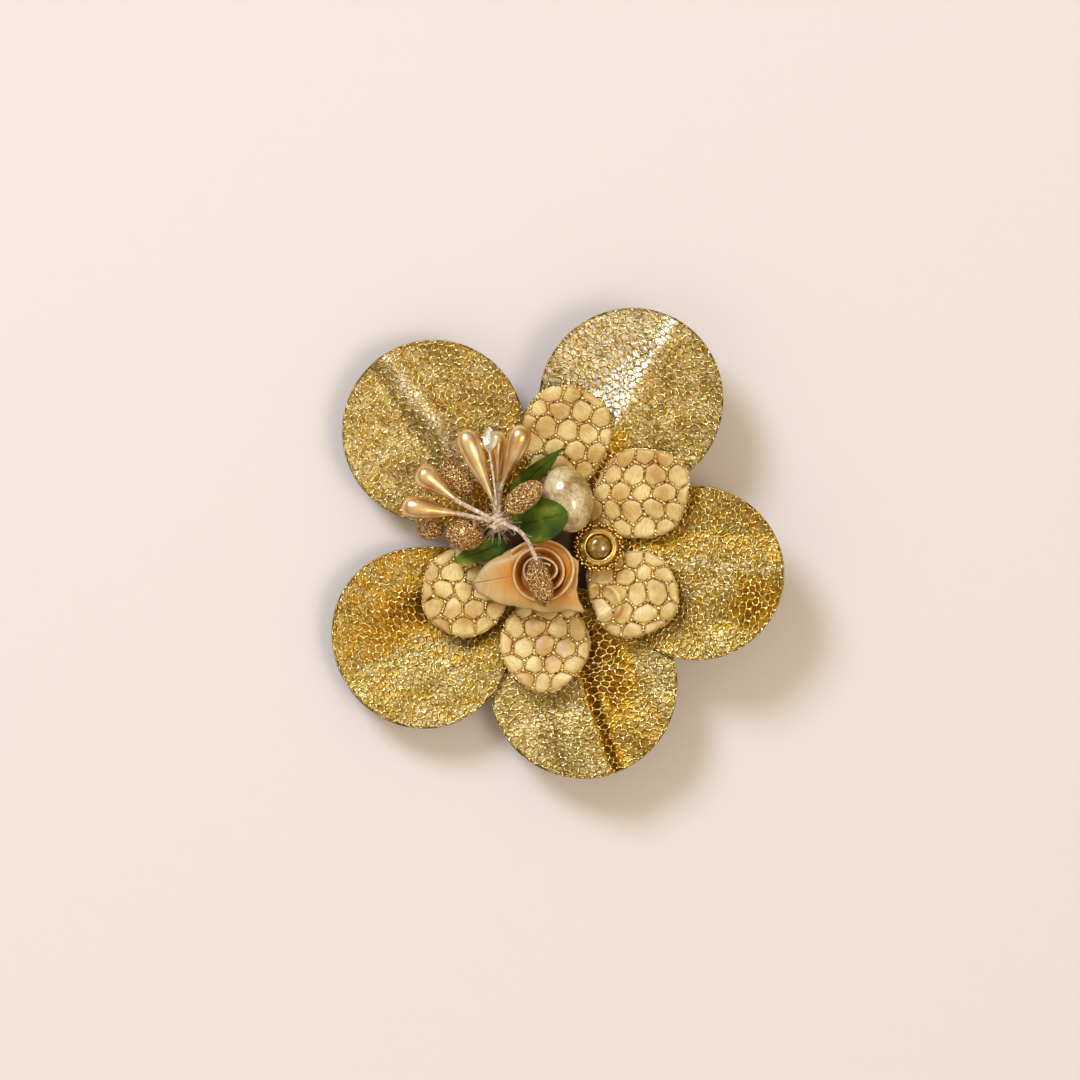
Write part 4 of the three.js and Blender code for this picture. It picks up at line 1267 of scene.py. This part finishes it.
def make_crystal():
    """A faceted bud with three slimmer ones leaning out of its foot, on a thread."""
    upright = aimed(over(-13.5, 20.2, 17.4), over(-13.5, 26.2, 18.4))
    maker = spun([(0, 0), (0.6, 0.3), (1.1, 1.6), (1.5, 3.2), (0.9, 4.9), (0, 5.8)], 7, upright)
    for turn in (0.4, 2.5, 4.6):
        lean = Matrix.Rotation(turn, 4, "Z") @ Matrix.Rotation(0.5, 4, "X")
        put(maker, spun([(0, 0), (0.8, 1.3), (0.85, 2.6), (0, 4.2)], 5, upright @ lean))
    thread = route([over(-13.5, 20.8, 17.6), over(-12.6, 15, 17.9), over(-11.8, 8, 17.4)], 16)
    tube(maker, thread, 0.25 * MM, 6, 1)
    crystal = finished("cut_crystal", maker, [ACRYLIC, JUTE], UPPER, "crystal", "crystal_bud")
    for face in crystal.data.polygons:
        face.use_smooth = face.material_index == 1


def make_knot():
    """Twine wound round the stems, its ends frayed into stray hairs."""
    pick = random.Random(7)
    maker = bmesh.new()
    middle = over(*KNOT)
    for _ in range(BINDING_LOOPS):
        tilt = Matrix.Rotation(pick.uniform(-0.5, 0.5), 3, "X")
        tilt = tilt @ Matrix.Rotation(0.5 + pick.uniform(-0.7, 0.7), 3, "Z")
        slide = pick.uniform(-1.3, 1.3)
        loop = []
        for i in range(33):
            turn = 2 * math.pi * i / 32
            round_stems = Vector((math.cos(turn) * 1.5, slide, math.sin(turn) * 1.25))
            loop.append(middle + tilt @ round_stems * MM)
        twisted(maker, loop, 0.42 * MM, 3, 1.6 * MM)
    for _ in range(KNOT_HAIRS):
        heading = pick.uniform(0, 2 * math.pi)
        out = Vector((math.cos(heading), math.sin(heading), pick.uniform(-0.2, 0.5)))
        long = pick.uniform(1.5, 4.2) * MM
        bend = Vector((pick.uniform(-1, 1), pick.uniform(-1, 1), pick.uniform(-0.6, 0.3))) * MM
        start = middle + out * MM
        hair = [start, start + out * long * 0.5 + bend * 0.4, start + out * long + bend]
        tube(maker, route(hair, 8), 0.045 * MM, 3)
    finished("frayed_binding", maker, [JUTE], UPPER, "twine", "twine_knot")


def make_stems():
    """The bundle of stems from the binding down into the glue."""
    maker = bmesh.new()
    path = route([over(-11.2, 4.9, 14.2), over(-10.2, 4.9, 12.9), over(-8.6, 4.5, 11.2),
                  over(-6.2, 3.6, 7.5)], 30)
    for k in range(STEMS):
        turn = 2 * math.pi * k / STEMS
        aside = Vector((math.cos(turn), math.sin(turn), 0)) * 0.55 * MM
        twisted(maker, [point + aside for point in path], 0.4 * MM, 2, 2.4 * MM)
    finished("stem_bundle", maker, [JUTE], UPPER, "twine", "bound_stems")


def make_hanging_twine():
    """The twine from the binding to the bud that lies on the rose, with stray hairs."""
    maker = bmesh.new()
    path = route([over(-10.4, 4.8, 15.4), over(-9.3, 4.2, 15.9), over(-6.8, 3, 17.2),
                  over(-4.8, 0.4, 17.5), over(-3.5, -2.4, 17.2), over(-3.0, -4.2, 17.2)], 60)
    twisted(maker, path, 0.48 * MM, 3, 2.6 * MM)
    pick = random.Random(11)
    for _ in range(TWINE_HAIRS):
        start = path[pick.randrange(4, 58)]
        out = Vector((pick.uniform(-1, 1), pick.uniform(-1, 1), pick.uniform(0, 0.6))).normalized()
        long = pick.uniform(0.9, 2.2) * MM
        droop = Vector((0.3, -0.4, 0)) * MM
        tube(maker, route([start, start + out * long * 0.6, start + out * long + droop], 5), 0.06 * MM, 3)
    finished("loose_twine", maker, [JUTE], UPPER, "twine", "hanging_twine")


make_crystal()
make_knot()
make_stems()
make_hanging_twine()

# ---- glue, felt, spring and clip -----------------------------------------------


def leaned(x, z):
    """Frame of the clip: x along it from the pivot, z over the upper arm's underside."""
    pivot = Matrix.Translation(Vector((AXIS_X + CLIP_X, AXIS_Y, CLIP_Z)) * MM)
    return pivot @ Matrix.Rotation(-LEAN, 4, "Y") @ Matrix.Translation(Vector((x, 0, z)) * MM)


def make_glue():
    """A mound with a thin skirt, swollen in blobs."""
    profile = [(0, 0), (12.6, -0.2), (12.4, 0.25), (10.6, 0.5), (9.4, 1.6), (8.9, 3.4), (7.7, 5.2),
               (5.9, 6.1), (3, 6.5), (0, 6.6)]
    maker = spun(profile, 56, leaned(-CLIP_X, FELT_TOP + 0.3))
    bmesh.ops.subdivide_edges(maker, edges=maker.edges[:], cuts=1, use_grid_fill=True)
    middle = leaned(-CLIP_X, FELT_TOP + 3).to_translation()
    for vertex in maker.verts:
        blob = noise.noise(vertex.co * 260) * 0.9 + noise.noise(vertex.co * 700) * 0.25
        out = (vertex.co - middle).normalized()
        out.z = max(0.0, out.z)
        vertex.co += out * blob * 0.6 * MM
    finished("glue_mound", maker, [GLUE], UPPER, "hot_glue", "hot_glue_mound")


FELT_RADIUS = 15.0


def make_felt():
    edge = [(-0.6, 1.15), (-0.15, 1.4), (0, 1.7), (-0.15, 2.0), (-0.6, 2.25)]
    profile = [(0, 1.15), *[(FELT_RADIUS + inset, height) for inset, height in edge], (0, 2.25)]
    maker = spun(profile, 96, leaned(-CLIP_X, 0))
    cuts = [edge for edge in maker.edges if edge.calc_length() > 5 * MM]
    bmesh.ops.subdivide_edges(maker, edges=cuts, cuts=14, use_grid_fill=True)
    for vertex in maker.verts:
        vertex.co.z += 0.12 * MM * noise.noise(vertex.co * 900)
    felt = finished("felt_backing", maker, [FELT], UPPER, "felt", "felt_backing_disc")


SPRING_COIL = 1.3
SPRING_WIRE = 0.3
SPRING_WIDTH = 3.0
SPRING_TURNS = 4.5
TURN_STEPS = 24
SPRING_LEG = 8.0
LEG_END = -4.45  # lower leg's end below the upper arm


def make_spring():
    frame_place = leaned(0, 0) @ Matrix.Translation(Vector((0, CLIP_Y, 0)) * MM)
    top = -PIVOT_DROP + SPRING_COIL
    points = [(SPRING_LEG, -SPRING_WIDTH / 2, top), (SPRING_LEG / 3, -SPRING_WIDTH / 2, top)]
    steps = int(SPRING_TURNS * TURN_STEPS)
    for i in range(steps + 1):
        turn = math.pi / 2 + 2 * math.pi * i / TURN_STEPS
        points.append((SPRING_COIL * math.cos(turn), -SPRING_WIDTH / 2 + SPRING_WIDTH * i / steps,
                       -PIVOT_DROP + SPRING_COIL * math.sin(turn)))
    points.append((SPRING_LEG / 2, SPRING_WIDTH / 2, (LEG_END - PIVOT_DROP - SPRING_COIL) / 2))
    points.append((SPRING_LEG, SPRING_WIDTH / 2, LEG_END))
    maker = bmesh.new()
    tube(maker, [frame_place @ (Vector(p) * MM) for p in points], SPRING_WIRE * MM, 10)
    spring = finished("spring_wire", maker, [NICKEL], None, "clip_steel", "clip_torsion_spring")
    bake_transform(spring)


make_glue()
make_felt()
make_spring()
for node in ("clip_upper_arm", "clip_lower_arm", "clip_hinge_pin"):
    bpy.data.objects[node].material_slots[0].material = NICKEL
